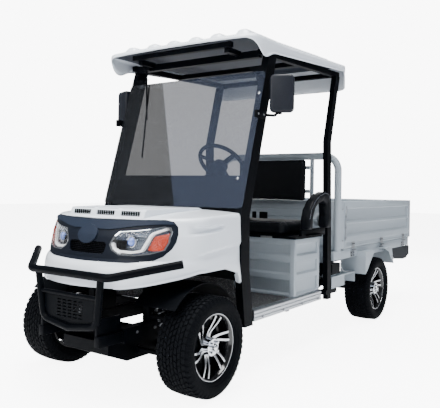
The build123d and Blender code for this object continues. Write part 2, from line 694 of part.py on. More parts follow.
with BuildPart() as seat_pan:
    slab((-480, 480), (at(1080), LID_HINGE_Y), (836, 844))
    for side in (-1, 1):
        add(faceted_bar((side * 400 - 30, LID_HINGE_Y, LID_HINGE_Z), (side * 400 + 30, LID_HINGE_Y,
                                                                      LID_HINGE_Z), 9,
                        SMALL_FLATS))
save(seat_pan, "seat_pan")

with BuildPart() as seat_cushion:
    slab((-500, 500), (at(1062), at(1560)), (844, 940))
    chamfer(edges().filter_by(Axis.Z), 40)
    chamfer(faces().sort_by(Axis.Z)[-1].edges(), 22)
save(seat_cushion, "seat_cushion")

with BuildPart() as seat_back:
    slab((-330, 330), (at(1706), at(1768)), (1080, 1437))
    chamfer(faces().sort_by(Axis.Y)[0].edges(), 10)
save(seat_back, "seat_back")

ARM_X = (572.0, 655.0)
ARM_LOOP = ((at(1160), 885), (at(1168), 965), (at(1195), 1035), (at(1262), 1104), (at(1340), 1145),
            (at(1440), 1168),
            (at(1512), 1154), (at(1545), 1085), (at(1568), 960), (at(1560), 885))
ARM_GAP = ((at(1236), 885), (at(1246), 975), (at(1282), 1038), (at(1340), 1076), (at(1420), 1092),
           (at(1466), 1066),
           (at(1480), 985), (at(1474), 905))
with BuildPart() as armrest:
    add(side_prism(ARM_LOOP, ARM_X))
    add(side_prism([(y, z - 1 if z < 900 else z) for y, z in ARM_GAP], ARM_X), mode=Mode.SUBTRACT)
    slab((ARM_X[0] + 2, ARM_X[0] + 26), (at(1160), at(1560)), (835, 905))
with BuildPart() as armrests:
    add(both_sides(armrest.part))
save(armrests, "armrests")

# ---------------------------------------------------------------- cargo bed
with BuildPart() as bed_floor:
    slab((-BED_HALF_W + 32, BED_HALF_W - 32), (BED_FRONT, BED_REAR), (660, 688))
    slab((-540, 540), (at(1800), BED_FRONT), (660, 684))
    for side in (-1, 1):
        slab((side * 576 - 24, side * 576 + 24), (at(1730), at(3658)), (605, 660))
    for station in (1740, 2320, 2990, 3610):
        slab((-540, 540), (at(station), at(station + 40)), (581, 660))
        for side in (-1, 1):
            slab((side * 545 - 10, side * 545 + 10), (at(station), at(station + 40)), (606, 660))
save(bed_floor, "bed_floor")

HOOP_X, HOOP_Y, HOOP_Z, HOOP_R, HOOP_BEND = 580.0, at(1830), 1462.0, 30.0, 125.0
HOOP = ((-HOOP_X, HOOP_Y, 660), (-HOOP_X, HOOP_Y, HOOP_Z), (HOOP_X, HOOP_Y, HOOP_Z), (HOOP_X, HOOP_Y, 660))
with BuildPart() as bed_header:
    add(tube(HOOP, HOOP_R, HOOP_BEND))
    slab((-HOOP_X + 20, HOOP_X - 20), (HOOP_Y - 14, HOOP_Y + 14), (684, BED_TOP))
    for line in PRESS_LINES:
        slab((-HOOP_X + 40, HOOP_X - 40), (HOOP_Y - 22, HOOP_Y - 14), (line - 90, line - 12))
    for side in (-1, 1):
        slab((side * 345 - 13, side * 345 + 13), (HOOP_Y - 22, HOOP_Y + 10), (BED_TOP, HOOP_Z))
        slab((side * 330 - 20, side * 330 + 20), (at(1768), HOOP_Y), (1150, 1180))
        slab((side * 330 - 20, side * 330 + 20), (at(1768), HOOP_Y), (1350, 1380))
        slab((side * 592 - 14, side * 592 + 14), (HOOP_Y + 10, BED_FRONT - 6), (690, BED_TOP))
save(bed_header, "bed_header")

PANEL_OUTLINE = [(0, BED_BOTTOM + 2)]
for line in reversed(PRESS_LINES):
    PANEL_OUTLINE += [(0, line - 14), (-9, line - 6), (-9, line + 6), (0, line + 14)]
PANEL_OUTLINE += [(0, BED_TOP), (-BED_PANEL_T, BED_TOP)]
for line in PRESS_LINES:
    PANEL_OUTLINE += [(-BED_PANEL_T, line + 14), (-21, line + 6), (-21, line - 6), (-BED_PANEL_T,
                                                                                    line - 14)]
PANEL_OUTLINE += [(-BED_PANEL_T, BED_BOTTOM + 2)]
HINGE_STATIONS = (2105.0, 2805.0, 3455.0)


def pressed_panel(length, hinge_offsets, knuckle_drop):
    """A pressed panel standing on XZ, outer face at x 0, with its hinge knuckles."""
    with BuildPart() as panel:
        with BuildSketch(Plane.XZ):
            with BuildLine():
                Polyline(*PANEL_OUTLINE, close=True)
            make_face()
        extrude(amount=-length)
        for offset_y in hinge_offsets:
            add(faceted_bar((knuckle_drop, offset_y - 30, BED_HINGE_Z), (knuckle_drop, offset_y + 30,
                                                                         BED_HINGE_Z), 8, 8))
            slab((0, knuckle_drop + 2), (offset_y - 30, offset_y + 30), (BED_HINGE_Z + 2, 740))
    return panel.part


side_panel = pressed_panel(BED_REAR - BED_FRONT, [at(s) - BED_FRONT for s in HINGE_STATIONS],
                           BED_HINGE_X - BED_HALF_W)
left_panel = Pos(BED_HALF_W, BED_FRONT, 0) * side_panel
with BuildPart() as bed_side_left:
    add(left_panel)
save(bed_side_left, "bed_side_left")
with BuildPart() as bed_side_right:
    add(left_panel.mirror(Plane.YZ))
save(bed_side_right, "bed_side_right")

gate_width = 2 * BED_HALF_W
gate_panel = pressed_panel(gate_width, (120, gate_width / 2, gate_width - 120), TAILGATE_HINGE_Y - at(3692))
with BuildPart() as tailgate:
    add(Location((BED_HALF_W, at(3692), 0), (0, 0, 90)) * gate_panel)
save(tailgate, "tailgate")

# ---------------------------------------------------------------- rear fenders and lamps
# mudguard: x of its inner edge, of the bed rail's outer face and of its outer edge
GUARD_IN, RAIL_OUT, GUARD_OUT = 446.0, 601.0, 680.0
SHELF_Z, RAIL_UNDER = 645.0, 605.0
SHEET_T = 4.0
GUARD_NOSE = ((2220, SHELF_Z), (2440, SHELF_Z), (2375, 590), (2320, 536), (2262, 480), (2220, 453))
GUARD_TAIL = ((2688, SHELF_Z), (2885, SHELF_Z), (2950, 482), (2900, 520), (2800, 610))
NOSE_PLATE = ((2216, SHELF_Z), (2220, SHELF_Z), (2220, 453), (2216, 453))
TAIL_PLATE = ((2885, SHELF_Z), (2889, SHELF_Z), (2954, 482), (2950, 482))
SHELVES = ((2216, 2440), (2688, 2889))
SHELF_IN_X = 545.0
LEDGE_Y, LEDGE_X, LEDGE_Z = (1690, 2169), (502, 602), (470, 478)


def placed(outline):
    """An outline given by stations, in the vehicle's own Y."""
    return [(at(station), z) for station, z in outline]


with BuildPart() as mudguard:
    for outline in (GUARD_NOSE, GUARD_TAIL):
        add(side_prism(placed(outline), (GUARD_OUT - SHEET_T, GUARD_OUT)))
    for outline in (NOSE_PLATE, TAIL_PLATE):
        add(side_prism(placed(outline), (GUARD_IN, GUARD_OUT)))
    for front, rear in SHELVES:
        slab((RAIL_OUT, GUARD_OUT), (at(front), at(rear)), (SHELF_Z - SHEET_T, SHELF_Z))
    slab((GUARD_IN - 10, RAIL_OUT), (at(2200), at(3000)), (RAIL_UNDER, SHELF_Z + 10), mode=Mode.SUBTRACT)
    slab((RAIL_OUT, RAIL_OUT + SHEET_T), (at(2218), at(2887)), (RAIL_UNDER - SHEET_T, SHELF_Z))
    slab((SHELF_IN_X, RAIL_OUT + SHEET_T), (at(2218), at(2900)), (RAIL_UNDER - SHEET_T, RAIL_UNDER))
# white angle bracket between the rear post and the mudguard
with BuildPart() as bracket:
    slab(LEDGE_X, (at(LEDGE_Y[0]), at(LEDGE_Y[1])), LEDGE_Z)
    slab(LEDGE_X, (at(LEDGE_Y[1] - 4), at(LEDGE_Y[1])), (390, LEDGE_Z[1]))
    slab((LEDGE_X[1] - 4, LEDGE_X[1]), (at(LEDGE_Y[0]), at(1940)), (386, LEDGE_Z[1]))
    slab((LEDGE_X[0] + 2, LEDGE_X[1] - 26), (at(1712), at(1848)), (LEDGE_Z[1], 496))
with BuildPart() as rear_fenders:
    add(both_sides(mudguard.part))
    add(both_sides(bracket.part))
save(rear_fenders, "rear_fenders")

# dark rear bumper that wraps round under the bed
BUMPER_SIDE = ((at(3110), 604), (at(3172), 497), (at(3490), 469), (at(3600), 474), (at(3660), 500),
               (at(3692), 540),
               (at(3692), 590), (at(3660), 604))
with BuildPart() as rear_bumper:
    add(both_sides(side_prism(BUMPER_SIDE, (592, 598))))
    slab((-598, 598), (at(3686), at(3692)), (500, 590))
    for side in (-1, 1):
        slab((side * 230 - 30, side * 230 + 30), (at(3630), at(3692)), (510, 570))
save(rear_bumper, "rear_bumper")

with BuildPart() as tail_lamps:
    for side in (-1, 1):
        slab((side * 480 - 75, side * 480 + 75), (at(3692), at(3704)), (515, 577))
save(tail_lamps, "tail_lamps")

# ---------------------------------------------------------------- wheels
# tyre section: x from the wheel's middle, radius
BEAD_X, SHOULDER_X, TREAD_X = 80.0, 102.0, 84.0
TYRE_HALF = ((BEAD_X, RIM_R), (TYRE_W / 2, 226), (SHOULDER_X, WHEEL_R - 9), (TREAD_X, WHEEL_R))
with BuildPart() as tyre:
    with BuildSketch(Plane.XZ):
        with BuildLine():
            Polyline(*TYRE_HALF, *[(-x, r) for x, r in reversed(TYRE_HALF)], close=True)
        make_face()
    revolve(axis=Axis.X)

SPOKE_COUNT = 5
HUB_BORE_R, HUB_R = 17.4, 44.0
LIP_X = 90.0
BARREL = ((-LIP_X, RIM_R + 7), (-BEAD_X, RIM_R - 0.4), (BEAD_X, RIM_R - 0.4), (LIP_X, RIM_R + 7), (70, 166),
          (-LIP_X, 166))
# one of a pair of spokes that bow apart: each edge from the hub outwards
SPOKE_INNER = ((34, 6), (104, 14), (170, 8))
SPOKE_OUTER = ((34, 26), (104, 42), (170, 36))
SPOKE_X, SPOKE_T, HUB_T = 50.0, 19.0, 36.0
with BuildPart() as spoke:
    with BuildSketch(Plane.YZ.offset(SPOKE_X)):
        with BuildLine():
            Polyline(*SPOKE_INNER, *reversed(SPOKE_OUTER), close=True)
        make_face()
    extrude(amount=SPOKE_T)
spoke_pair = [spoke.part, spoke.part.mirror(Plane.XZ)]
with BuildPart() as rim:
    with BuildSketch(Plane.XZ):
        with BuildLine():
            Polyline(*BARREL, close=True)
        make_face()
    revolve(axis=Axis.X)
    for turn in range(SPOKE_COUNT):
        for twin in spoke_pair:
            add(Rot(turn * 360 / SPOKE_COUNT, 0, 0) * twin)
    with BuildSketch(Plane.YZ.offset(SPOKE_X)):
        RegularPolygon(HUB_R, TUBE_FLATS)
    extrude(amount=HUB_T)
    with BuildSketch(Plane.YZ.offset(SPOKE_X)):
        Circle(HUB_BORE_R)
    extrude(amount=HUB_T, mode=Mode.SUBTRACT)
rim_out = rim.part
tyre_out = tyre.part
# name, centre x, centre y, side
WHEELS = (("front_left", FRONT_TRACK_X, FRONT_AXLE_Y, 1), ("front_right", -FRONT_TRACK_X, FRONT_AXLE_Y, -1),
          ("rear_left", REAR_TRACK_X, REAR_AXLE_Y, 1), ("rear_right", -REAR_TRACK_X, REAR_AXLE_Y, -1))
for name, wheel_x, wheel_y, side in WHEELS:
    turned = rim_out if side > 0 else rim_out.mirror(Plane.YZ)
    with BuildPart() as placed_tyre:
        add(Pos(wheel_x, wheel_y, WHEEL_R) * tyre_out)
    save(placed_tyre, f"tyre_{name}")
    with BuildPart() as placed_rim:
        add(Pos(wheel_x, wheel_y, WHEEL_R) * turned)
    save(placed_rim, f"rim_{name}")

# ---------------------------------------------------------------- steering
ARM_END = (455.0, at(122), 262.0)
with BuildPart() as knuckle_left:
    slab((STEER_X - 22, STEER_X + 22), (at(-22), at(22)), (207, 383))
    with Locations(Location(((STEER_X + FRONT_TRACK_X + 100) / 2, FRONT_AXLE_Y, WHEEL_R), (0, 90, 0))):
        Cylinder(17, FRONT_TRACK_X + 100 - STEER_X)
    add(square_bar((STEER_X - 6, at(10), 262), ARM_END, 18, 18))
    add(faceted_bar((ARM_END[0], ARM_END[1], 247), (ARM_END[0], ARM_END[1], 277), 15, SMALL_FLATS))
save(knuckle_left, "knuckle_left")
with BuildPart() as knuckle_right:
    add(knuckle_left.part.mirror(Plane.YZ))
save(knuckle_right, "knuckle_right")

RACK_Y = at(122)
with BuildPart() as steering_rack:
    with Locations(Location((0, RACK_Y, 262), (0, 90, 0))):
        Cylinder(11, 2 * 425)
save(steering_rack, "steering_rack")
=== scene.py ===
from math import atan2, cos, pi, radians, sin, sqrt

import bpy
from mathutils import Matrix, Vector


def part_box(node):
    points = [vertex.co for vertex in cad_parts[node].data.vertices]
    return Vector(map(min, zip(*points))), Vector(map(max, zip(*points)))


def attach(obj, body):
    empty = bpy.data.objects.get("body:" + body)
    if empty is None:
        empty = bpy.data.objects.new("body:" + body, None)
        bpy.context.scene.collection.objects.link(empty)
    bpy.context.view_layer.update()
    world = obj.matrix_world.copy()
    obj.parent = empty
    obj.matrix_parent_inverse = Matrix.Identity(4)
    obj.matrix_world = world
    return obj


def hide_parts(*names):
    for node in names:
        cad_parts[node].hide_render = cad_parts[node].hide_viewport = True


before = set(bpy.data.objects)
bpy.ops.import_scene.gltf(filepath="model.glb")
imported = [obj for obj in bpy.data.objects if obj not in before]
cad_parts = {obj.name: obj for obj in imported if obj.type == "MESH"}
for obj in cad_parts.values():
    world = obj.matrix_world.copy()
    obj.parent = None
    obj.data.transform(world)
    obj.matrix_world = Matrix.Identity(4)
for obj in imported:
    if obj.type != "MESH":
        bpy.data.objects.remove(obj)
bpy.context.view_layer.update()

bl_info = {
    "name": "Utility cart dressing",
    "version": (1, 0, 0),
    "blender": (4, 5, 0),
    "location": "View3D > Sidebar > Cart",
    "description": "Dresses a packed two-seat utility cart with its visual pieces, materials and studio.",
    "category": "Object",
}

# ------------ driving dimensions, metres
TYRE_LOW, TYRE_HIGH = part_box("tyre_front_left")
REAR_TYRE_LOW, REAR_TYRE_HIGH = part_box("tyre_rear_left")
FRONT_AXLE_Y = (TYRE_LOW[1] + TYRE_HIGH[1]) / 2
REAR_AXLE_Y = (REAR_TYRE_LOW[1] + REAR_TYRE_HIGH[1]) / 2
WHEEL_R = (TYRE_HIGH[2] - TYRE_LOW[2]) / 2
ORIGIN = (0, 0, 0)
X_AXIS, Y_AXIS, Z_AXIS = (1, 0, 0), (0, 1, 0), (0, 0, 1)
# name, side, centre x, centre y
WHEELS = (
    ("front_left", 1, (TYRE_LOW[0] + TYRE_HIGH[0]) / 2, FRONT_AXLE_Y),
    ("front_right", -1, -(TYRE_LOW[0] + TYRE_HIGH[0]) / 2, FRONT_AXLE_Y),
    ("rear_left", 1, (REAR_TYRE_LOW[0] + REAR_TYRE_HIGH[0]) / 2, REAR_AXLE_Y),
    ("rear_right", -1, -(REAR_TYRE_LOW[0] + REAR_TYRE_HIGH[0]) / 2, REAR_AXLE_Y))


def at(station):
    """Y of a station that is measured rearwards from the front axle."""
    return FRONT_AXLE_Y + station


# ------------ properties
class CartSizes(bpy.types.PropertyGroup):
    """Sizes of the trim that a user would change."""

    tread_pitches: bpy.props.IntProperty(
        name="Tread pitches", description="Blocks round each tyre", default=50, min=20, max=60)
    tread_depth: bpy.props.FloatProperty(
        name="Tread depth", description="How deep the grooves are", default=0.007, unit="LENGTH",
                                         subtype="DISTANCE")
    spoke_pairs: bpy.props.IntProperty(
        name="Spoke pairs", description="Pairs of spokes in each wheel", default=6, min=3, max=8)
    seat_swell: bpy.props.FloatProperty(
        name="Seat swell", description="The furthest that padding may swell", default=0.024, unit="LENGTH",
        subtype="DISTANCE")
    key_power: bpy.props.FloatProperty(
        name="Key light", description="Power of the main softbox", default=620.0, unit="POWER")


class CartColours(bpy.types.PropertyGroup):
    """Colours of the painted and moulded pieces, as linear values."""

    shell: bpy.props.FloatVectorProperty(
        name="Shell", description="Cowl and roof", default=(0.82, 0.87, 0.93), size=3, subtype="COLOR")
    steel: bpy.props.FloatVectorProperty(
        name="Bed", description="Pressed steel of bed and seat box", default=(0.37, 0.42, 0.46), size=3,
        subtype="COLOR")


# ------------ materials
def linear(code):
    """An sRGB hex colour as linear RGBA."""
    parts = [int(code[i:i + 2], 16) / 255 for i in (1, 3, 5)]
    return [c / 12.92 if c <= 0.04045 else ((c + 0.055) / 1.055) ** 2.4 for c in parts] + [1.0]


def add_node(tree, kind, settings=(), **inputs):
    """Adds a node with its attributes; inputs, by name or i and a number, get a value or link."""
    made = tree.nodes.new(kind)
    for name, value in dict(settings).items():
        setattr(made, name, value)
    for name, value in inputs.items():
        numbered = name[0] == "i" and name[1:].isdigit()
        socket = made.inputs[int(name[1:]) if numbered else name.replace("_", " ")]
        if isinstance(value, bpy.types.NodeSocket):
            tree.links.new(value, socket)
        else:
            socket.default_value = value
    return made


MATERIALS = {}


def surface(name, colour, roughness, metallic=0.0, grain=None, depth=0.0, **more):
    """A Principled material. grain is the bump's size in metres, depth its height."""
    made = bpy.data.materials.new(name)
    made.use_nodes = True
    shader = made.node_tree.nodes["Principled BSDF"]
    shader.inputs["Base Color"].default_value = linear(colour) if isinstance(colour, str) else [*colour, 1.0]
    shader.inputs["Roughness"].default_value = roughness
    shader.inputs["Metallic"].default_value = metallic
    for socket, value in more.items():
        shader.inputs[socket.replace("_", " ")].default_value = value
    if grain:
        relief(made, "ShaderNodeTexNoise", 1 / grain, depth, Detail=3.0, Roughness=0.55)
    MATERIALS[name] = made
    return made


def relief(made, kind, scale, depth, **more):
    """Adds a procedural bump to a material: waves or cells a metre, depth in metres."""
    tree = made.node_tree
    where = add_node(tree, "ShaderNodeTexCoord").outputs["Object"]
    pattern = add_node(tree, kind, Vector=where, Scale=scale, **more)
    height = pattern.outputs["Distance" if kind.endswith("Voronoi") else "Fac"]
    bump = add_node(tree, "ShaderNodeBump", Strength=1.0, Distance=depth, Height=height)
    tree.links.new(bump.outputs["Normal"], tree.nodes["Principled BSDF"].inputs["Normal"])
    return made


def speckle(made, first, second, size, low, high):
    """Breaks a material's colour into two by a noise of that size in metres."""
    tree = made.node_tree
    where = add_node(tree, "ShaderNodeTexCoord").outputs["Object"]
    noise = add_node(tree, "ShaderNodeTexNoise", Vector=where, Scale=1 / size, Detail=4.0)
    ramp = add_node(tree, "ShaderNodeValToRGB", Fac=noise.outputs["Fac"])
    start, end = ramp.color_ramp.elements
    start.position, end.position = low, high
    start.color, end.color = linear(first), linear(second)
    tree.links.new(ramp.outputs["Color"], tree.nodes["Principled BSDF"].inputs["Base Color"])
# how far under the roof's skin the dark sheet of painted shade hangs


# the edge of the screen's painted reflection, where its two tones meet: fall of x with height, x at the floor, its
# blur
REFLECTION_EDGE_SLOPE, REFLECTION_EDGE_X, REFLECTION_EDGE_BLUR = 0.385, 0.462, 0.008
REFLECTION_MOTTLE_A_METRE = 95.0


def screen_glass(made):
    """Paints a reflection into a screen in two tones: a mottled painted reflection up to a slanting line, then
    haze.
    """
    tree = made.node_tree
    shader = tree.nodes["Principled BSDF"]
    where = add_node(tree, "ShaderNodeTexCoord").outputs["Object"]
    apart = add_node(tree, "ShaderNodeSeparateXYZ", Vector=where)
    line = add_node(tree, "ShaderNodeMath", {"operation": "MULTIPLY_ADD"}, i0=apart.outputs["Z"], i1=REFLECTION_EDGE_SLOPE,
                    i2=apart.outputs["X"])
    side = add_node(tree, "ShaderNodeMapRange", Value=line.outputs[0], From_Min=REFLECTION_EDGE_X, From_Max=REFLECTION_EDGE_X + REFLECTION_EDGE_BLUR)
    # noise that mottles the painted reflection and thins the glass
    reflection_noise = add_node(tree, "ShaderNodeTexNoise", Vector=where, Scale=REFLECTION_MOTTLE_A_METRE, Detail=5.0, Roughness=0.7)
    mottle = add_node(tree, "ShaderNodeValToRGB", Fac=reflection_noise.outputs["Fac"])
    low, high = mottle.color_ramp.elements
    low.position, high.position = 0.5, 0.68
    low.color, high.color = linear("#101216"), linear("#43464A")
    blend = add_node(tree, "ShaderNodeMix", {"data_type": "RGBA"}, i0=side.outputs[0], A=mottle.outputs["Color"],
                     B=linear("#3C4352"))
    tree.links.new(blend.outputs["Result"], shader.inputs["Base Color"])
    cover = add_node(tree, "ShaderNodeMapRange", Value=side.outputs[0], To_Min=0.74, To_Max=0.54)
    # fine bright specks: where the painted reflection's noise is high, the glass lets more through
    specks = add_node(tree, "ShaderNodeMath", {"operation": "MULTIPLY_ADD"}, i0=reflection_noise.outputs["Fac"], i1=-0.26,
                      i2=cover.outputs[0])
    tree.links.new(specks.outputs[0], shader.inputs["Alpha"])


def make_materials(colours):
    """Every material of the cart and its studio."""
    # gloss moulded ABS: clean white, soft wide highlights, a faint ripple from the mould
    surface("moulded_white_abs", colours.shell, 0.24, grain=0.09, depth=0.0006, Coat_Weight=0.35,
            Coat_Roughness=0.08)
    # powder-coated pressed steel: satin light grey, fine orange peel drawn at 4 mm so it shows
    surface("powder_coated_steel_grey", colours.steel, 0.4, grain=0.004, depth=0.00005)
    # satin black powder coat on tube and posts: dull sheen, fine orange peel
    surface("powder_coated_steel_black", "#030509", 0.46, grain=0.003, depth=0.00006, Specular_IOR_Level=0.05)
    # moulded dark grey ABS with a fine spark-eroded grain
    surface("moulded_dark_abs", "#121720", 0.46, grain=0.0016, depth=0.00006, Specular_IOR_Level=0.1)
    # the same dark ABS, lighter, on the brow and badge: painted light on these proud parts
    surface("dark_abs_painted_light", "#222936", 0.5, grain=0.0016, depth=0.00006, Specular_IOR_Level=0.1)
    # moulded slate-black polypropylene of the mirror pods: a soft sheen
    surface("moulded_slate_pp", "#0F131C", 0.42, Specular_IOR_Level=0.3, grain=0.0018, depth=0.00008)
    # moulded black polypropylene trim: matte
    surface("moulded_black_pp", "#030509", 0.52, grain=0.002, depth=0.0001, Specular_IOR_Level=0.06)
    # gloss black paint in the wheels and behind the lamps
    surface("gloss_black_paint", "#060709", 0.18, Coat_Weight=0.6, Coat_Roughness=0.05)
    # vacuum-plated chrome in the lamps and on the hub caps
    surface("plated_chrome", "#E4E7EA", 0.08, metallic=1.0)
    # machined aluminium on the spokes' faces: bright, with a fine turned grain
    surface("machined_aluminium", "#D3D5D8", 0.24, metallic=1.0, grain=0.0012, depth=0.00003)
    # extruded aluminium of the sills: soft metal with broad highlights
    surface("extruded_aluminium", "#BFC2C6", 0.34, metallic=1.0, grain=0.002, depth=0.00003)
    # zinc-plated steel of springs, rack and screws: grey metal, slightly cloudy
    surface("zinc_plated_steel", "#9A9DA1", 0.36, metallic=1.0, grain=0.003, depth=0.00004)
    # clear moulded polycarbonate of the lamp covers: only its highlights show
    surface("clear_polycarbonate", "#FFFFFF", 0.03, Transmission_Weight=1.0, IOR=1.2, Alpha=0.35)
    # plated chrome again in the lamp bowls, over flutes moulded 30 mm apart: banded, duller glints, its colour
    # darker than chrome's as painted shade in the recessed bowl
    relief(surface("fluted_chrome", "#8F959E", 0.1, metallic=1.0), "ShaderNodeTexWave", 34.0, 0.004, Distortion=1.5)
    # opal acrylic light guide round the lamp: milky white, faintly lit from within
    surface("opal_light_guide", "#F7F9FB", 0.25, Emission_Color=linear("#FFFFFF"), Emission_Strength=0.25)
    # glass projector with an anti-glare coat: a bluish sheen
    surface("coated_projector_glass", "#7F9BE8", 0.06, metallic=0.35, Coat_Weight=1.0)
    # amber acrylic over the indicator: orange, broken by optic cells about 9 mm wide
    relief(surface("amber_acrylic", "#B5300F", 0.22, Coat_Weight=0.8, Emission_Color=linear("#C8401A"),
                   Emission_Strength=0.08), "ShaderNodeTexVoronoi", 110.0, 0.004)
    # red acrylic of the tail lamps: glossy and deep
    surface("red_acrylic", "#8E0D12", 0.18, Coat_Weight=0.8)
    # painted shade under the roof: a dark textured sheet just beneath its skin
    surface("painted_roof_shade", "#2A2F38", 0.6, grain=0.004, depth=0.0002, Specular_IOR_Level=0.2)
    # lightly tinted laminated glass with a painted reflection: one half mirrors something dark, the other is hazy
    screen_glass(surface("tinted_glass_painted_reflection", "#9AA3AD", 0.03, Coat_Weight=0.3))
    # silvered glass of the mirrors: a clean mirror
    surface("silvered_mirror", "#DDE2E6", 0.03, metallic=1.0)
    # expanded vinyl: black, with a leather grain drawn at 3 mm
    surface("expanded_black_vinyl", "#02050B", 0.5, grain=0.003, depth=0.0002, Specular_IOR_Level=0.14)
    # polyester seam thread: grey and dull
    surface("grey_thread", "#7E828A", 0.7, grain=0.001, depth=0.0002)
    # cured rubber: matte, slightly dusty
    surface("cured_tyre_rubber", "#04060A", 0.7, grain=0.006, depth=0.0002, Specular_IOR_Level=0.07)
    # floor mat: dark ribbed rubber with light speckles
    speckle(surface("speckled_rubber_mat", "#3A3B3E", 0.8, grain=0.003, depth=0.0003), "#1D1E20", "#77797C", 0.006,
            0.5, 0.72)
    # moulded polypropylene of the battery cases: dull black
    surface("battery_polypropylene", "#101318", 0.5, grain=0.003, depth=0.0001)
    # matt paper of the studio floor: plain white
    paper = surface("studio_paper", "#F8F9FB", 0.9, grain=0.02, depth=0.0001,
                    Emission_Color=linear("#FFFFFF")).node_tree
    # lit so that the camera sees it nearly as white as the sweep behind it
    seen = add_node(paper, "ShaderNodeLightPath").outputs["Is Camera Ray"]
    glow = add_node(paper, "ShaderNodeMapRange", Value=seen, To_Min=0.3, To_Max=7.0)
    paper.links.new(glow.outputs[0], paper.nodes["Principled BSDF"].inputs["Emission Strength"])


def dress(piece, material):
    """Gives a piece its one material."""
    piece.data.materials.clear()
    piece.data.materials.append(MATERIALS[material])
    return piece


def dress_bare(pieces, material):
    """Gives that material to the pieces that have none yet."""
    for piece in pieces:
        if not piece.data.materials:
            dress(piece, material)
    return pieces


# ------------ modelling by operators
def clear():
    """Object mode with nothing selected."""
    if bpy.context.object and bpy.context.object.mode != "OBJECT":
        bpy.ops.object.mode_set(mode="OBJECT")
    bpy.ops.object.select_all(action="DESELECT")


def only(piece):
    """Selects one piece and makes it active."""
    clear()
    piece.select_set(True)
    bpy.context.view_layer.objects.active = piece
    return piece


def named(name):
    """Names the primitive that was just added, with its place in its mesh."""
    piece = bpy.context.object
    bpy.ops.object.transform_apply(location=True, rotation=True, scale=True)
    piece.name = name
    piece.data.name = name
    return piece


def edit(piece, work):
    """Runs work in edit mode on all of a piece."""
    only(piece)
    bpy.ops.object.mode_set(mode="EDIT")
    bpy.ops.mesh.select_all(action="SELECT")
    work()
    bpy.ops.object.mode_set(mode="OBJECT")
    return piece


def tidy(piece, merge=0.00005):
    """Merges doubles and turns every face outwards."""
    def work():
        bpy.ops.mesh.remove_doubles(threshold=merge)
        bpy.ops.mesh.normals_make_consistent(inside=False)
    return edit(piece, work)


def apply(piece, kind, **settings):
    """Adds a modifier with its settings and applies it."""
    only(piece)
    modifier = piece.modifiers.new(kind.title(), kind)
    for name, value in settings.items():
        setattr(modifier, name, value)
    bpy.ops.object.modifier_apply(modifier=modifier.name)
    return piece


def smooth(piece, angle=35.0):
    """Smooth shading except over edges sharper than angle."""
    only(piece)
    bpy.ops.object.shade_smooth_by_angle(angle=radians(angle))
    return piece


def soften(piece, width, segments=2, angle=30.0):
    """Rounds the sharp edges and shades smooth."""
    apply(piece, "BEVEL", width=width, segments=segments, limit_method="ANGLE", angle_limit=radians(angle),
          use_clamp_overlap=True, harden_normals=False)
    return smooth(piece)


def block(name, low, high, bevel=0.0, segments=2):
    """A box between two corners, its edges rounded."""
    clear()
    bpy.ops.mesh.primitive_cube_add(size=1, location=[(a + b) / 2 for a, b in zip(low, high)])
    bpy.context.object.scale = [abs(b - a) for a, b in zip(low, high)]
    piece = named(name)
    return soften(piece, bevel, segments) if bevel else piece


def brick(x, half, stations, heights, bevel=0.0, segments=2):
    """A box between two stations and two heights, its middle at x."""
    return block("brick", (x - half, at(stations[0]), heights[0]), (x + half, at(stations[1]), heights[1]), bevel,
                 segments)


def prism(name, points, push, bevel=0.0, segments=2):
    """A flat outline of points in space, extruded by push, its edges rounded."""
    clear()
    bpy.ops.mesh.primitive_circle_add(vertices=len(points), radius=1, fill_type="NGON")
    piece = named(name)
    for vertex, point in zip(piece.data.vertices, points):
        vertex.co = point
    edit(piece, lambda: bpy.ops.mesh.extrude_region_move(TRANSFORM_OT_translate={"value": push}))
    tidy(piece)
    return soften(piece, bevel, segments) if bevel else piece


def side_solid(name, points, x, bevel=0.0, segments=2):
    """A (Y, Z) outline drawn out between two X limits."""
    return prism(name, [(x[0], y, z) for y, z in points], (x[1] - x[0], 0, 0), bevel, segments)


def drum(name, centre, axis, radius, length, bevel=0.0, sides=48, hole=0.0):
    """A round bar or ring about its centre, along axis."""
    clear()
    turn = Vector((0, 0, 1)).rotation_difference(Vector(axis)).to_euler()
    bpy.ops.mesh.primitive_cylinder_add(vertices=sides, radius=radius, depth=length, location=centre, rotation=turn)
    piece = named(name)
    if hole:
        bpy.ops.mesh.primitive_cylinder_add(vertices=sides, radius=hole, depth=length * 2, location=centre,
                                            rotation=turn)
        cut(piece, named("tool"))
    return soften(piece, bevel) if bevel else smooth(piece)


def cut(piece, tool, operation="DIFFERENCE"):
    """Boolean of a piece by a tool, which is then deleted."""
    apply(piece, "BOOLEAN", object=tool, operation=operation, solver="EXACT")
    bpy.data.objects.remove(tool)
    return piece


def copy_of(piece, name, matrix):
    """A copy with its own mesh, moved by matrix and kept facing outwards."""
    made = piece.copy()
    made.data = piece.data.copy()
    made.name = made.data.name = name
    bpy.context.scene.collection.objects.link(made)
    made.data.transform(matrix)
    if matrix.determinant() < 0:
        made.data.flip_normals()
    return made


MIRROR = Matrix.Diagonal((-1, 1, 1, 1))


def both_sides(piece, name):
    """The piece joined with its mirror image."""
    return join([piece, copy_of(piece, name + "_other", MIRROR)], name)


def join(pieces, name):
    """Joins pieces into one, which keeps each one's materials."""
    clear()
    for piece in pieces:
        piece.select_set(True)
    bpy.context.view_layer.objects.active = pieces[0]
    bpy.ops.object.join()
    made = bpy.context.object
    made.name = made.data.name = name
    return made


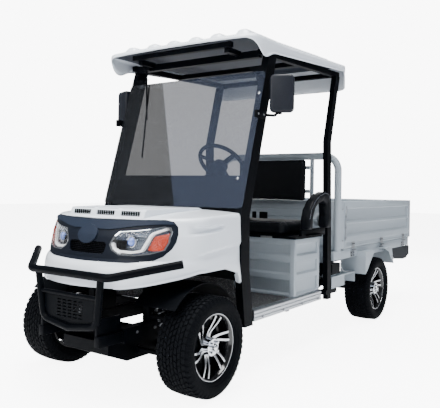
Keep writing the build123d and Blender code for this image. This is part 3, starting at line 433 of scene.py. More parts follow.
def rounded(points, radius, steps, closed=False):
    """The points of a route whose corners are turned at that radius."""
    corners = [Vector(p) for p in points]
    route = [] if closed else [corners[0]]
    span = range(len(corners)) if closed else range(1, len(corners) - 1)
    for index in span:
        here = corners[index]
        back = (corners[index - 1] - here).normalized()
        onward = (corners[(index + 1) % len(corners)] - here).normalized()
        half = (pi - back.angle(onward)) / 2
        if half < 0.01:
            route.append(here)
            continue
        reach = radius * (1 / cos(half))
        centre = here + (back + onward).normalized() * reach
        start = here + back * radius * (sin(half) / cos(half)) - centre
        axis = back.cross(onward)
        for step in range(steps + 1):
            route.append(centre + Matrix.Rotation(-2 * half * step / steps, 3, axis) @ start)
    if not closed:
        route.append(corners[-1])
    return route


def wires(name, routes, radius, resolution):
    """Round wires along routes, made from one bevelled curve."""
    clear()
    bpy.ops.curve.primitive_bezier_curve_add()
    curve = bpy.context.object.data
    curve.splines.clear()
    for route in routes:
        spline = curve.splines.new("POLY")
        spline.points.add(len(route) - 1)
        for point, where in zip(spline.points, route):
            point.co = (*where, 1)
    curve.dimensions = "3D"
    curve.bevel_depth = radius
    curve.bevel_resolution = resolution
    curve.use_fill_caps = True
    bpy.ops.object.convert(target="MESH")
    return tidy(named(name))


def pipe(name, points, radius, bend=0.0, resolution=6, steps=6):
    """A round tube along a route, its corners bent."""
    route = rounded(points, bend, steps) if bend else [Vector(p) for p in points]
    return smooth(wires(name, [route], radius, resolution), 50)


def beam(name, start, end, width, depth, side=(1, 0, 0), bevel=0.003):
    """A rectangular bar from start to end: width along side, depth across it."""
    start, end = Vector(start), Vector(end)
    run = (end - start).normalized()
    across = (Vector(side) - run * run.dot(Vector(side))).normalized()
    other = run.cross(across)
    corners = [start + across * a * width / 2 + other * b * depth / 2 for a,
               b in ((-1, -1), (1, -1), (1, 1), (-1, 1))]
    return prism(name, corners, end - start, bevel)


WASHER_T = 0.0016


def bolt(where, axis, size, head, material="zinc_plated_steel"):
    """A hexagon bolt's head on its washer, standing on where along axis."""
    axis = Vector(axis).normalized()
    washer = drum("washer", Vector(where) + axis * WASHER_T / 2, axis, size * 1.05, WASHER_T, 0.0003, sides=20)
    top = drum("head", Vector(where) + axis * (WASHER_T + head / 2), axis, size * 0.75, head, 0.0008, sides=6)
    return dress(join([washer, top], "bolt"), material)


COIL_STEPS = 16


def coil(name, foot, top, radius, turns, wire):
    """A coil spring round the line from foot to top."""
    foot, top = Vector(foot), Vector(top)
    axis = (top - foot).normalized()
    side = axis.orthogonal().normalized()
    points = []
    for step in range(turns * COIL_STEPS + 1):
        share = step / (turns * COIL_STEPS)
        points.append(foot + (top - foot) * share + Matrix.Rotation(2 * pi * turns * share, 3,
                                                                    axis) @ side * radius)
    return pipe(name, points, wire, resolution=3)


PAD_PRESSURE, PAD_FRAMES = 4.0, 20


def stuff(pad, voxel, swell, floor=0.0):
    """Swells a pad as cloth under pressure: no point moves past swell, or below floor."""
    apply(pad, "REMESH", mode="VOXEL", voxel_size=voxel)
    start = [vertex.co.copy() for vertex in pad.data.vertices]
    only(pad)
    cloth = pad.modifiers.new("Cloth", "CLOTH")
    cloth.settings.use_pressure = True
    cloth.settings.uniform_pressure_force = PAD_PRESSURE
    cloth.settings.effector_weights.gravity = 0.0
    for number in range(1, PAD_FRAMES + 1):
        bpy.context.scene.frame_set(number)
    bpy.ops.object.modifier_apply(modifier=cloth.name)
    bpy.context.scene.frame_set(1)
    for vertex, first in zip(pad.data.vertices, start):
        move = vertex.co - first
        if move.length > swell:
            vertex.co = first + move.normalized() * swell
        vertex.co.z = max(vertex.co.z, floor)
    apply(pad, "SUBSURF", levels=1, render_levels=1)
    return smooth(pad, 80)


THREAD_LIFT = 0.0004


def laid_on(pad, points):
    """The points moved onto a pad's surface, and lifted off it."""
    placed = []
    for point in points:
        _, where, normal, _ = pad.closest_point_on_mesh(Vector(point))
        placed.append(where + normal * THREAD_LIFT)
    return placed


STITCH_PITCH, STITCH_SHARE, THREAD_R = 0.008, 0.6, 0.0009


def stitches(name, pad, points):
    """A row of stitches along a route on a pad's surface."""
    route = [Vector(p) for p in points]
    marks, left = [], 0.0
    for a, b in zip(route, route[1:]):
        length = (b - a).length
        spot = left
        while spot < length:
            end = min(spot + STITCH_PITCH * STITCH_SHARE, length)
            marks.append((a + (b - a) * spot / length, a + (b - a) * end / length))
            spot += STITCH_PITCH
        left = spot - length
    rows = wires(name, [laid_on(pad, mark) for mark in marks], THREAD_R, 1)
    return dress(smooth(rows, 60), "grey_thread")


def lathe(name, profile, centre, steps):
    """A closed (x, radius) profile spun about an axle along X."""
    clear()
    bpy.ops.mesh.primitive_circle_add(vertices=len(profile), radius=1, fill_type="NOTHING")
    piece = named(name)
    for vertex, (x, r) in zip(piece.data.vertices, profile):
        vertex.co = (centre[0] + x, centre[1], centre[2] + r)
    edit(piece, lambda: bpy.ops.mesh.spin(steps=steps, angle=2 * pi, center=centre, axis=(1, 0, 0)))
    return smooth(tidy(piece, 0.0001), 32)


def around(piece, centre, count):
    """Repeats all of a piece count times round an axle along X, as one mesh."""
    turn = 2 * pi * (count - 1) / count
    return edit(piece, lambda: bpy.ops.mesh.spin(steps=count - 1, angle=turn, dupli=True, center=centre,
                                                 axis=(1, 0, 0)))


def skin(name, rows):
    """A surface through equally long rows of points: a grid whose points are placed."""
    clear()
    across, along = len(rows[0]), len(rows)
    bpy.ops.mesh.primitive_grid_add(x_subdivisions=across - 1, y_subdivisions=along - 1, size=1)
    piece = named(name)
    for index, vertex in enumerate(piece.data.vertices):
        vertex.co = rows[index // across][index % across]
    return piece


def finish(piece, slot_name, *nodes, body="root"):
    """Rides on a body and stands for CAD nodes, which it hides; slot_name is not used."""
    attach(piece, body)
    if nodes:
        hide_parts(*nodes)
    return piece


def between(value, table):
    """The values at a key, interpolated in a table of (key, value, ...) rows."""
    if value <= table[0][0]:
        return table[0][1:]
    for low, high in zip(table, table[1:]):
        if value <= high[0]:
            t = (value - low[0]) / (high[0] - low[0])
            return tuple(a + (b - a) * t for a, b in zip(low[1:], high[1:]))
    return table[-1][1:]


def ease(value, low, high):
    """Smooth step from 0 at low to 1 at high."""
    t = min(max((value - low) / (high - low), 0.0), 1.0)
    return t * t * (3 - 2 * t)


# ------------ wheels
TYRE_PROFILE = (
    (-0.08, 0.1812), (0.08, 0.1812), (0.092, 0.1895), (0.104, 0.202), (0.112, 0.216), (0.1155, 0.232),
    (0.113, 0.25), (0.106, 0.265), (0.096, 0.2745), (0.06, 0.2768), (0.0, 0.2775))
# tread block: x of its inner and outer edge, skew, share of the pitch, offset in pitches
TREAD_ROWS = (
    (0.0025, 0.022, 0.6, 0.8, 0.0), (0.0265, 0.046, -0.4, 0.8, 0.35), (0.0505, 0.071, 0.4, 0.8, 0.7),
    (0.0755, 0.0985, 0.0, 0.76, 0.1))


# how far the crown has dropped at that x
CROWN_DROP, CROWN_X = 0.0055, 0.1
TREAD_SLANT = 1.2
# raised rings on the sidewall: x, radius, half width
SIDEWALL_RINGS = ((0.1052, 0.2025, 0.0018), (0.1128, 0.216, 0.0012), (0.1154, 0.233, 0.0014))
# a lug that runs down over the shoulder: x, y, height
LUG = ((0.1002, -0.009, WHEEL_R - 0.0085), (0.1095, -0.009, 0.266), (0.115, -0.008, 0.243), (0.106, -0.008, 0.24),
       (0.096, -0.009, 0.268))
LUG_L = 0.0175
WHEEL_STEPS = 96


def tread_block(x, skew, share, offset, pitch, depth):
    """One block of the tread, on top of a tyre about the origin."""
    corners = []
    for x_at, end in ((x[0], -1), (x[1], -1), (x[1], 1), (x[0], 1)):
        shift = skew * (x_at - (x[0] + x[1]) / 2) / WHEEL_R
        corners.append((x_at, pitch * (offset + end * share / 2) + shift))
    low, high = [], []
    for x_at, angle in corners:
        drop = CROWN_DROP * (abs(x_at) / CROWN_X) ** 2.2
        for ring, radius in ((low, WHEEL_R - depth - 0.004), (high, WHEEL_R - 0.0004)):
            r = radius - drop
            ring.append((x_at, r * sin(angle), r * cos(angle)))
    clear()
    bpy.ops.mesh.primitive_cube_add(size=1)
    piece = named("tread")
    ring_order = ((-1, -1), (1, -1), (1, 1), (-1, 1))
    for vertex in piece.data.vertices:
        x_sign, y_sign, z_sign = (1 if c > 0 else -1 for c in vertex.co)
        vertex.co = (high if z_sign > 0 else low)[ring_order.index((x_sign, y_sign))]
    tidy(piece)
    return soften(piece, 0.0018, 1)


def make_tyre(sizes):
    """One tyre about the origin, with its tread, for copying."""
    profile = list(TYRE_PROFILE) + [(-x, r) for x, r in reversed(TYRE_PROFILE[2:-1])]
    carcass = lathe("tyre_carcass", profile, ORIGIN, WHEEL_STEPS)
    pitch = 2 * pi / sizes.tread_pitches
    blocks, rings = [], []
    for side in (1, -1):
        stagger = 0.5 if side < 0 else 0.0
        for inner, outer, skew, share, offset in TREAD_ROWS:
            limits = (inner, outer) if side > 0 else (-outer, -inner)
            blocks.append(tread_block(limits, skew * TREAD_SLANT, share, offset + stagger, pitch,
                                      sizes.tread_depth))
        lug = prism("lug", [(side * x, y, z) for x, y, z in LUG], (0, LUG_L, 0), 0.0012, 1)
        if side < 0:
            lug.data.transform(Matrix.Rotation(pitch / 2, 4, "X"))
        blocks.append(tidy(lug))
        for x, r, half in SIDEWALL_RINGS:
            inner, outer = side * x - 0.003, side * (x + 0.0004)
            profile = ((inner, r - half), (outer, r - half), (outer, r + half), (inner, r + half))
            rings.append(lathe("ring", profile, ORIGIN, WHEEL_STEPS))
    tread = around(join(blocks, "tread"), ORIGIN, sizes.tread_pitches)
    return dress(join([carcass, tread] + rings, "tyre"), "cured_tyre_rubber")


# a blade of a twin spoke: radius, its middle's distance from the pair's, half its width, its face's x
BLADE = ((0.044, 0.0105, 0.0115, 0.039), (0.062, 0.011, 0.0106, 0.041), (0.08, 0.0126, 0.0092, 0.047),
         (0.105, 0.017, 0.008, 0.058), (0.135, 0.0215, 0.0074, 0.068), (0.17, 0.025, 0.0074, 0.0755))
SPOKE_SWEEP, SPOKE_PHASE = radians(13), radians(-6)
SPOKE_ROOT_R, SPOKE_RUN, SPOKE_STEPS = 0.044, 0.126, 14
# a blade's layers: back and front from its face, share of its width, edge radius, material
BLADE_LAYERS = ((-0.016, 0.0, 1.0, 0.0012, "gloss_black_paint"), (0.0, 0.0012, 0.9, 0.0004, "machined_aluminium"))


def spoke_pair():
    """Two slim blades that part from one root, bright faces over black sides."""
    blades = []
    for twin in (-1, 1):
        for back, front, share, edge_r, material in BLADE_LAYERS:
            rows = []
            for step in range(SPOKE_STEPS + 1):
                r = SPOKE_ROOT_R + SPOKE_RUN * step / SPOKE_STEPS
                middle, half, x = between(r, BLADE)
                turn = SPOKE_PHASE - SPOKE_SWEEP * ease(r, 0.05, 0.172)
                row = []
                for edge, depth in ((-1, back), (1, back), (1, front), (-1, front), (-1, back)):
                    off = twin * middle + edge * half * share
                    row.append((x + depth, off * cos(turn) - r * sin(turn), r * cos(turn) + off * sin(turn)))
                rows.append(row)
            blade = tidy(skin("blade", rows))
            edit(blade, lambda: bpy.ops.mesh.fill_holes(sides=0))
            blades.append(dress(soften(tidy(blade), edge_r, 2, 40), material))
    return join(blades, "spokes")


# closed (x, radius) profiles of the wheel's turned parts
BARREL = (
    (-0.088, 0.187), (-0.0795, 0.1806), (0.0795, 0.1806), (0.0885, 0.1875), (0.0905, 0.186),
    (0.0885, 0.179), (0.08, 0.1735), (0.068, 0.1695), (0.06, 0.1655), (-0.06, 0.1655), (-0.088, 0.176))
LIP = ((0.0885, 0.1836), (0.0904, 0.1842), (0.0908, 0.1864), (0.0896, 0.1868), (0.088, 0.185))
HUB_BOSS = ((0.026, 0.0174), (0.084, 0.0174), (0.084, 0.046), (0.081, 0.0505), (0.04, 0.0525), (0.026, 0.0525))
HUB_CAP = ((0.08, 0.001), (0.108, 0.001), (0.107, 0.01), (0.102, 0.018), (0.093, 0.022), (0.08, 0.0225))
NUT_COUNT, NUT_RING_R, NUT_X = 4, 0.0345, 0.089


def make_rim(sizes):
    """One wheel about the origin, outer face to +X, for copying."""
    parts = [dress(lathe("turned", profile, ORIGIN, steps), material) for profile, steps, material in
             ((BARREL, WHEEL_STEPS, "gloss_black_paint"), (LIP, WHEEL_STEPS, "machined_aluminium"))]
    parts.append(around(spoke_pair(), ORIGIN, sizes.spoke_pairs))
    parts += [dress(lathe("turned", profile, ORIGIN, steps), "plated_chrome")
              for profile, steps in ((HUB_BOSS, 64), (HUB_CAP, 48))]
    # the brake drum, and the shield behind it
    for x, radius, length, bevel in ((0.006, 0.098, 0.022, 0.004), (-0.001, 0.152, 0.006, 0.001)):
        parts.append(dress(drum("drum", (x, 0, 0), X_AXIS, radius, length, bevel), "powder_coated_steel_black"))
    for corner in range(NUT_COUNT):
        angle = pi / 4 + corner * 2 * pi / NUT_COUNT
        where = (NUT_X, NUT_RING_R * sin(angle), NUT_RING_R * cos(angle))
        parts.append(dress(drum("nut", where, X_AXIS, 0.008, 0.02, 0.0012, sides=6), "plated_chrome"))
    return join(parts, "rim")


class CART_OT_wheels(bpy.types.Operator):
    """Tyres with their tread, and wheels with paired spokes"""

    bl_idname = "cart.wheels"
    bl_label = "Wheels"

    def execute(self, context):
        sizes = context.scene.cart_sizes
        tyre, rim = make_tyre(sizes), make_rim(sizes)
        for name, side, x, y in WHEELS:
            place = Matrix.Translation((x, y, WHEEL_R))
            if side < 0:
                place = place @ Matrix.Rotation(pi, 4, "Z")
            finish(copy_of(tyre, "tyre_" + name + "_treaded", place), "tyre", "tyre_" + name, body="wheel_" + name)
            finish(copy_of(rim, "rim_" + name + "_spoked", place), "alloy", "rim_" + name, body="wheel_" + name)
        for spare in (tyre, rim):
            bpy.data.objects.remove(spare)
        return {"FINISHED"}


# ------------ nose
# height, centre station, station and x of the bow's end, station of the side's start, half width
NOSE_SECTIONS = (
    (0.6, -0.458, -0.388, 0.31, 0.0, 0.594), (0.7, -0.44, -0.375, 0.31, 0.0, 0.6),
    (0.738, -0.42, -0.358, 0.31, 0.0, 0.6), (0.77, -0.372, -0.322, 0.31, 0.0, 0.6),
    (0.9, -0.345, -0.294, 0.31, 0.015, 0.596), (1.1, -0.235, -0.188, 0.31, 0.04, 0.588))
NOSE_REAR, NOSE_LOW = 0.35, 0.6
ARCH_EDGE = (
    (-0.458, 0.621), (-0.39, 0.622), (-0.25, 0.66), (-0.07, 0.7), (0.18, 0.703), (0.312, 0.667),
    (0.338, 0.6), (0.35, 0.52))
HOOD_LINE = ((-0.3, 0.972), (-0.215, 1.001), (-0.15, 1.013), (0.06, 1.03), (0.345, 1.042))


# shares of the plan where the bow and the corner end, and the pull of the corner's curve
BOW_SHARE, CORNER_SHARE = 0.35, 0.75
CORNER_PULL_X, CORNER_PULL_Y = 0.538, 0.4


def plan_point(z, share, inset=0.0):
    """A point of the nose's plan and its normal: share 0 is in front, 1 at the side's rear."""
    centre, bow_end, bow_x, side_start, half = between(z, NOSE_SECTIONS)
    lean = 2 * (bow_end - centre) / bow_x
    if share <= BOW_SHARE:
        x = bow_x * share / BOW_SHARE
        slope = lean * x / bow_x
        y = centre + (bow_end - centre) * (x / bow_x) ** 2
        normal = Vector((slope, -1.0)).normalized()
    elif share <= CORNER_SHARE:
        t = (share - BOW_SHARE) / (CORNER_SHARE - BOW_SHARE)
        reach_x, reach_y = CORNER_PULL_X * (half - bow_x), CORNER_PULL_Y * (side_start - bow_end)
        points = [Vector(p) for p in ((bow_x, bow_end), (bow_x + reach_x, bow_end + reach_x * lean),
                                      (half, side_start - reach_y), (half, side_start))]
        spot = sum((points[i] * k * (1 - t) ** (3 - i) * t ** i for i, k in enumerate((1, 3, 3, 1))),
                   Vector((0, 0)))
        run = sum(((points[i + 1] - points[i]) * k * (1 - t) ** (2 - i) * t ** i for i, k in enumerate((1, 2, 1))),
                  Vector((0, 0))).normalized()
        x, y = spot
        normal = Vector((run.y, -run.x))
    else:
        t = (share - CORNER_SHARE) / (1 - CORNER_SHARE)
        x, y = half, side_start + (NOSE_REAR - side_start) * t
        normal = Vector((1.0, 0.0))
    return x - normal.x * inset, y - normal.y * inset, normal


def nose_patch(name, heights, inset, reach, count):
    """The nose's skin at those heights, inset, out to the share reach on either side."""
    rows = []
    for z in heights:
        row = []
        for step in range(-count, count + 1):
            x, y, _ = plan_point(z, abs(step) / count * reach, inset)
            row.append((x if step >= 0 else -x, at(y), z))
        rows.append(row)
    return skin(name, rows)


def thicken(piece, depth):
    """Gives a skin a wall on its inside."""
    apply(piece, "SOLIDIFY", thickness=depth, offset=-1, use_even_offset=True)
    return tidy(piece)


def front_tool(outline, depth=(-0.62, 0.05)):
    """An (x, z) outline drawn through the nose between two stations, as a cutting tool."""
    return prism("tool", [(x, at(depth[0]), z) for x, z in outline], (0, depth[1] - depth[0], 0))


def nose_part(name, heights, inset, reach, wall, outline, depth=(-0.62, 0.05), count=56):
    """A walled patch of the nose's skin, kept only inside an (x, z) outline of the front."""
    patch = thicken(nose_patch(name, heights, inset, reach, count), wall)
    return cut(patch, front_tool(outline, depth), "INTERSECT")


def steps_from(low, step, count):
    """Evenly spaced values, from low upwards."""
    return [low + step * i for i in range(count)]


def arc_corners(points, radius, steps, closed=True):
    """A flat outline whose corners are rounded."""
    flat = rounded([(x, 0, z) for x, z in points], radius, steps, closed)
    return [(p.x, p.z) for p in flat]


FASCIA_OUTLINE = (
    (0.0, 0.988), (0.33, 0.992), (0.44, 0.995), (0.484, 0.985), (0.506, 0.957), (0.515, 0.915),
    (0.513, 0.875), (0.5, 0.836), (0.468, 0.795), (0.42, 0.768), (0.3, 0.757), (0.0, 0.755))
LAMP_OUTLINE = (
    (0.166, 0.851), (0.184, 0.892), (0.215, 0.926), (0.304, 0.933), (0.379, 0.944), (0.449, 0.96),
    (0.48, 0.955), (0.492, 0.931), (0.49, 0.873), (0.475, 0.829), (0.409, 0.806), (0.335, 0.796),
    (0.236, 0.796), (0.186, 0.821))


def mirrored_loop(half):
    """A closed outline from its right half, which ends on the middle line."""
    return list(half) + [(-x, z) for x, z in reversed(half[1:-1])]


# where the pressed pocket behind the lamp ends on the flank: station, height
POCKET_EDGE = ((-0.3, 0.9), (-0.124, 0.909), (0.144, 0.929), (0.252, 1.042))


ARCH_FIRST, ARCH_LAST = -0.4, 0.345


def arch_run(count):
    """Points of the wheel arch's edge on the left skin: x, station, height."""
    points = []
    for step in range(count + 1):
        y = ARCH_FIRST + (ARCH_LAST - ARCH_FIRST) * step / count
        z = max(between(y, ARCH_EDGE)[0], NOSE_LOW)
        low, high = 0.0, 1.0
        for _ in range(24):
            middle = (low + high) / 2
            low, high = (middle, high) if plan_point(z, middle)[1] < y else (low, middle)
        points.append((plan_point(z, low)[0], y, z))
    return points


# inset from the arch's edge and lift above it, across the white flange and the black liner
FLANGE_ROLL = ((-0.007, 0.014), (-0.008, 0.003), (-0.004, -0.002), (0.006, -0.003), (0.022, 0.001))
LINER_ROLL = ((0.012, 0.004), (0.06, 0.012), (0.2, 0.016), (0.38, 0.01))
LINER_INNER_X, ARCH_WALL = 0.1, 0.003


def make_arch():
    """The left wheel arch: a rolled white flange and the black liner behind it."""
    made = []
    for name, roll, count, least_x, angle, material in (
            ("flange", FLANGE_ROLL, 64, 0.0, 50, "moulded_white_abs"),
            ("liner", LINER_ROLL, 32, LINER_INNER_X, 35, "moulded_black_pp")):
        rows = [[(max(x - inset, least_x), at(y), z + lift) for x, y, z in arch_run(count)] for inset, lift in roll]
        piece = apply(tidy(skin(name, rows)), "SOLIDIFY", thickness=ARCH_WALL, offset=0)
        made.append(dress(smooth(piece, angle), material))
    return made


# where the walls stop following the arch's edge, and where they turn into the shoulder
PLAIN_Z, SHOULDER_Z, SHOULDER_R = 0.77, 0.965, 0.034
HOOD_REAR_X, HOOD_CROWN, COWL_WALL = 0.588, 0.02, 0.005
POCKET_DEPTH, HOLLOW_DEPTH, FLARE = 0.024, 0.013, 0.011
# the flank's crease: its height, its rise per metre, and the station where it has that height
CREASE_Z, CREASE_RISE, CREASE_AT = 0.79, 0.112, -0.193
COWL_STEPS = 60


def flank_push(share, y, z, height, arch_z):
    """How far the lamp's pocket, the crease and the flared arch push the cowl's flank in."""
    side = ease(share, 0.6, 0.8)
    pocket = ease(z - between(y, POCKET_EDGE)[0], -0.01, 0.007) * (1 - ease(z, 0.948, 0.966))
    dent = POCKET_DEPTH * ease(share, 0.58, 0.7) * pocket * (1 - ease(y, 0.2, 0.26))
    # under the crease the flank is hollow, then flares out to the arch
    crease = CREASE_Z + CREASE_RISE * (y - CREASE_AT)
    down = (crease - height) / (crease - arch_z)
    hollow = HOLLOW_DEPTH * ease(down, 0.0, 0.1) * (1 - ease(down, 0.25, 0.75))
    return dent - side * (FLARE * ease(down, 0.3, 0.9) - hollow)


def hood_height(x, y):
    """Height of the hood's skin before its shoulder is rounded."""
    return between(y, HOOD_LINE)[0] - HOOD_CROWN * (abs(x) / 0.6) ** 2.5


def make_cowl():
    """The white cowl: walls, rounded shoulder and hood as one skin, cut for the fascia."""
    walls = [0.6, 0.612, 0.64, 0.68, 0.715, 0.735, 0.748] + steps_from(0.77, 0.0065, 30) + [SHOULDER_Z]
    shares = [abs(step) / COWL_STEPS for step in range(-COWL_STEPS, COWL_STEPS + 1)]
    signs = [-1] * COWL_STEPS + [1] * (COWL_STEPS + 1)
    rows = []
    for z in walls:
        row = []
        for share, sign in zip(shares, signs):
            x, y, normal = plan_point(z, share)
            low = between(y, ARCH_EDGE)[0]
            height = z if z > PLAIN_Z else max(z, low + (z - NOSE_LOW) / 0.17 * (PLAIN_Z - low))
            push = flank_push(share, y, z, height, low)
            row.append((sign * (x - normal.x * push), at(y - normal.y * push), height))
        rows.append(row)
    # the shoulder and the hood run inwards from the top of the walls
    for fraction in (0.004, 0.012, 0.024, 0.038, 0.055, 0.08, 0.12, 0.18, 0.26, 0.36, 0.48, 0.6, 0.72, 0.84, 0.93,
                     1.0):
        row = []
        for share, sign in zip(shares, signs):
            x, y, _ = plan_point(SHOULDER_Z, share)
            run = Vector((HOOD_REAR_X * share ** 0.92 - x, NOSE_REAR - y))
            spot = Vector((x, y)) + run * fraction
            inward = min(run.length * fraction, SHOULDER_R)
            round_off = SHOULDER_R - sqrt(max(SHOULDER_R ** 2 - (SHOULDER_R - inward) ** 2, 0))
            steep = min(1.0, (hood_height(x, y) - SHOULDER_Z) / SHOULDER_R + 0.4)
            height = max(hood_height(spot.x, spot.y) - round_off * steep, SHOULDER_Z + 0.001)
            row.append((sign * spot.x, at(spot.y), height))
        rows.append(row)
    cowl = thicken(tidy(skin("cowl", rows)), COWL_WALL)
    cut(cowl, front_tool(mirrored_loop(FASCIA_OUTLINE), (-0.62, -0.06)))
    return dress(smooth(cowl, 28), "moulded_white_abs")


VENT_XS = (-0.201, 0.0, 0.201)
VENT_W, VENT_H, VENT_Z, VENT_Y = 0.15, 0.028, 1.0205, -0.204


# station, height: the side view of the hood's raised middle
SCOOP = ((-0.236, 0.985), (-0.219, 1.002), (-0.203, 1.04), (-0.19, 1.0435), (0.1, 1.048), (0.3, 1.05),
         (0.335, 1.04), (0.335, 1.02), (-0.2, 0.985))
SCOOP_HALF_W, RIB_FRONT = 0.312, -0.206
# x, rear station, and how far the crest is dropped
SCOOP_RIBS = ((-0.1, 0.24, 0.0), (0.1, 0.24, 0.0), (-0.296, 0.2, -0.002), (0.296, 0.2, -0.002))


def make_scoop():
    """The hood's raised middle with its three ribbed intakes."""
    scoop = side_solid("scoop", [(at(y), z) for y, z in SCOOP], (-SCOOP_HALF_W, SCOOP_HALF_W), 0.009, 3)
    for x in VENT_XS:
        cut(scoop, block("tool", (x - VENT_W / 2, at(-0.3), VENT_Z - VENT_H / 2),
                         (x + VENT_W / 2, at(-0.196), VENT_Z + VENT_H / 2)))
    ribs = []
    for x, rear, top in SCOOP_RIBS:
        rib = ((RIB_FRONT, 1.032), (RIB_FRONT + 0.016, 1.0495 + top), (0.02, 1.0535 + top), (rear, 1.048),
               (rear, 1.03))
        ribs.append(side_solid("rib", [(at(y), z) for y, z in rib], (x - 0.017, x + 0.017), 0.0035, 2))
    return dress(smooth(join([scoop] + ribs, "scoop"), 30), "moulded_white_abs")


LOUVRE_COLUMNS, LOUVRE_ROWS = 8, 2


def make_vents():
    """Black louvre grids in the three intakes."""
    bars = []

    def louvre(x, z, front, rear):
        bars.append(block("bar", (x[0], at(VENT_Y + front), z[0]), (x[1], at(VENT_Y + rear), z[1])))

    for middle in VENT_XS:
        left, right = middle - VENT_W / 2, middle + VENT_W / 2
        low, high = VENT_Z - VENT_H / 2, VENT_Z + VENT_H / 2
        for column in range(LOUVRE_COLUMNS + 1):
            x = left + column * VENT_W / LOUVRE_COLUMNS
            louvre((x - 0.0018, x + 0.0018), (low, high), -0.001, 0.007)
        for row in range(LOUVRE_ROWS + 1):
            z = low + row * VENT_H / LOUVRE_ROWS
            louvre((left, right), (z - 0.0016, z + 0.0016), 0.001, 0.008)
        louvre((left + 0.001, right - 0.001), (low + 0.001, high - 0.001), 0.01, 0.012)
    return dress(join(bars, "hood_louvres"), "moulded_black_pp")


# right halves of the outlines cut in and on the fascia
BROW_OUTLINE = (
    (0.0, 0.9845), (0.33, 0.988), (0.438, 0.991), (0.476, 0.984), (0.492, 0.97), (0.43, 0.97),
    (0.3, 0.957), (0.208, 0.942), (0.146, 0.934), (0.0, 0.937))
MESH_HOLE = ((0.0, 0.862), (0.135, 0.862), (0.15, 0.85), (0.142, 0.806), (0.125, 0.796), (0.0, 0.796))
BADGE_HALF_W, BADGE_HALF_H, BADGE_Z = 0.076, 0.054, 0.904
CELL_R, CELL_BAR, CELL_ROWS, CELL_COLUMNS, MESH_Z = 0.0105, 0.0016, 4, 9, 0.829


def make_honeycomb():
    """The bars of the honeycomb that fills the hole in the fascia."""
    cells = []
    for row in range(-CELL_ROWS, CELL_ROWS + 1):
        for column in range(-CELL_COLUMNS, CELL_COLUMNS + 1):
            x = (column + (row % 2) / 2) * CELL_R * 1.9
            z = MESH_Z + row * CELL_R * 0.95
            if abs(x) > 0.15 or not 0.794 < z < 0.864:
                continue
            y = plan_point(z, min(abs(x) / 0.31, 1) * BOW_SHARE, 0.008)[1]
            clear()
            bpy.ops.mesh.primitive_circle_add(vertices=6, radius=CELL_R, location=(x, at(y), z), fill_type="NGON",
                                              rotation=(pi / 2, 0, 0))
            cell = named("cell")
            cell.data.transform(Matrix.Translation((x, 0, z)) @ Matrix.Diagonal((1.12, 1, 0.62, 1))
                                @ Matrix.Translation((-x, 0, -z)))
            cells.append(cell)
    mesh = join(cells, "honeycomb")

    def hollow():
        bpy.ops.mesh.inset(thickness=CELL_BAR, depth=0, use_individual=True)
        bpy.ops.mesh.delete(type="FACE")
    edit(mesh, hollow)
    return dress(apply(mesh, "SOLIDIFY", thickness=0.006, offset=0), "moulded_black_pp")


def make_fascia():
    """The dark fascia: frame, brow, bare oval badge plate and honeycomb."""
    grown = [(x * 0.996, z + (0.872 - z) * 0.012) for x, z in FASCIA_OUTLINE]
    surround = nose_part("fascia", steps_from(0.748, 0.012, 23), -0.003, 0.8, 0.02, mirrored_loop(grown),
                         (-0.62, -0.08))
    for side in (1, -1):
        cut(surround, front_tool([(side * x, z) for x, z in LAMP_OUTLINE]))
    cut(surround, front_tool(mirrored_loop(MESH_HOLE)))
    dress(soften(surround, 0.003, 2, 40), "moulded_dark_abs")
    oval = [(BADGE_HALF_W * cos(2 * pi * i / 48), BADGE_Z + BADGE_HALF_H * sin(2 * pi * i / 48)) for i in range(48)]
    brow = nose_part("brow", steps_from(0.925, 0.008, 11), -0.009, 0.75, 0.01, mirrored_loop(BROW_OUTLINE))
    badge = nose_part("badge", steps_from(0.84, 0.013, 11), -0.013, 0.3, 0.014, oval, count=24)
    # the brow and badge get the lighter copy of the dark ABS: painted light
    for part in (brow, badge):
        dress(soften(part, 0.004, 3, 40), "dark_abs_painted_light")
    parts = [surround, brow, badge, make_honeycomb()]
    back = thicken(nose_patch("mesh_back", steps_from(0.78, 0.012, 9), 0.022, 0.3, 20), 0.003)
    return join(parts + [dress(back, "gloss_black_paint")], "fascia_moulding")


LIGHT_GUIDE = (
    (0.182, 0.857), (0.194, 0.828), (0.225, 0.815), (0.305, 0.812), (0.359, 0.823), (0.378, 0.868),
    (0.397, 0.917), (0.456, 0.944))
AMBER_OUTLINE = (
    (0.413, 0.902), (0.474, 0.92), (0.482, 0.9), (0.47, 0.836), (0.455, 0.825), (0.393, 0.825),
    (0.389, 0.832))
LIGHT_GUIDE_HALF_W = 0.0062
LAMP_MIDDLE, PROJECTOR = (0.345, 0.873), (0.282, 0.869)
PROJECTOR_R, PROJECTOR_BACK = 0.026, Vector((0, 0.012, 0))
LAMP_HEIGHTS = steps_from(0.78, 0.008, 25)


def on_nose(x, z, inset):
    """The point of the nose's skin at x and z, moved in by inset."""
    low, high = 0.0, 0.999
    for _ in range(30):
        middle = (low + high) / 2
        if plan_point(z, middle * CORNER_SHARE)[0] < abs(x):
            low = middle
        else:
            high = middle
    _, y, normal = plan_point(z, low * CORNER_SHARE)
    return Vector((x, at(y) + inset / max(abs(normal.y), 0.35), z))


def band(path, half):
    """A band of that half width along an (x, z) path, as a closed outline."""
    left, right = [], []
    for index, (x, z) in enumerate(path):
        before, after = path[max(index - 1, 0)], path[min(index + 1, len(path) - 1)]
        run = Vector((after[0] - before[0], after[1] - before[1])).normalized()
        left.append((x - run.y * half, z + run.x * half))
        right.append((x + run.y * half, z - run.x * half))
    return left + right[::-1]


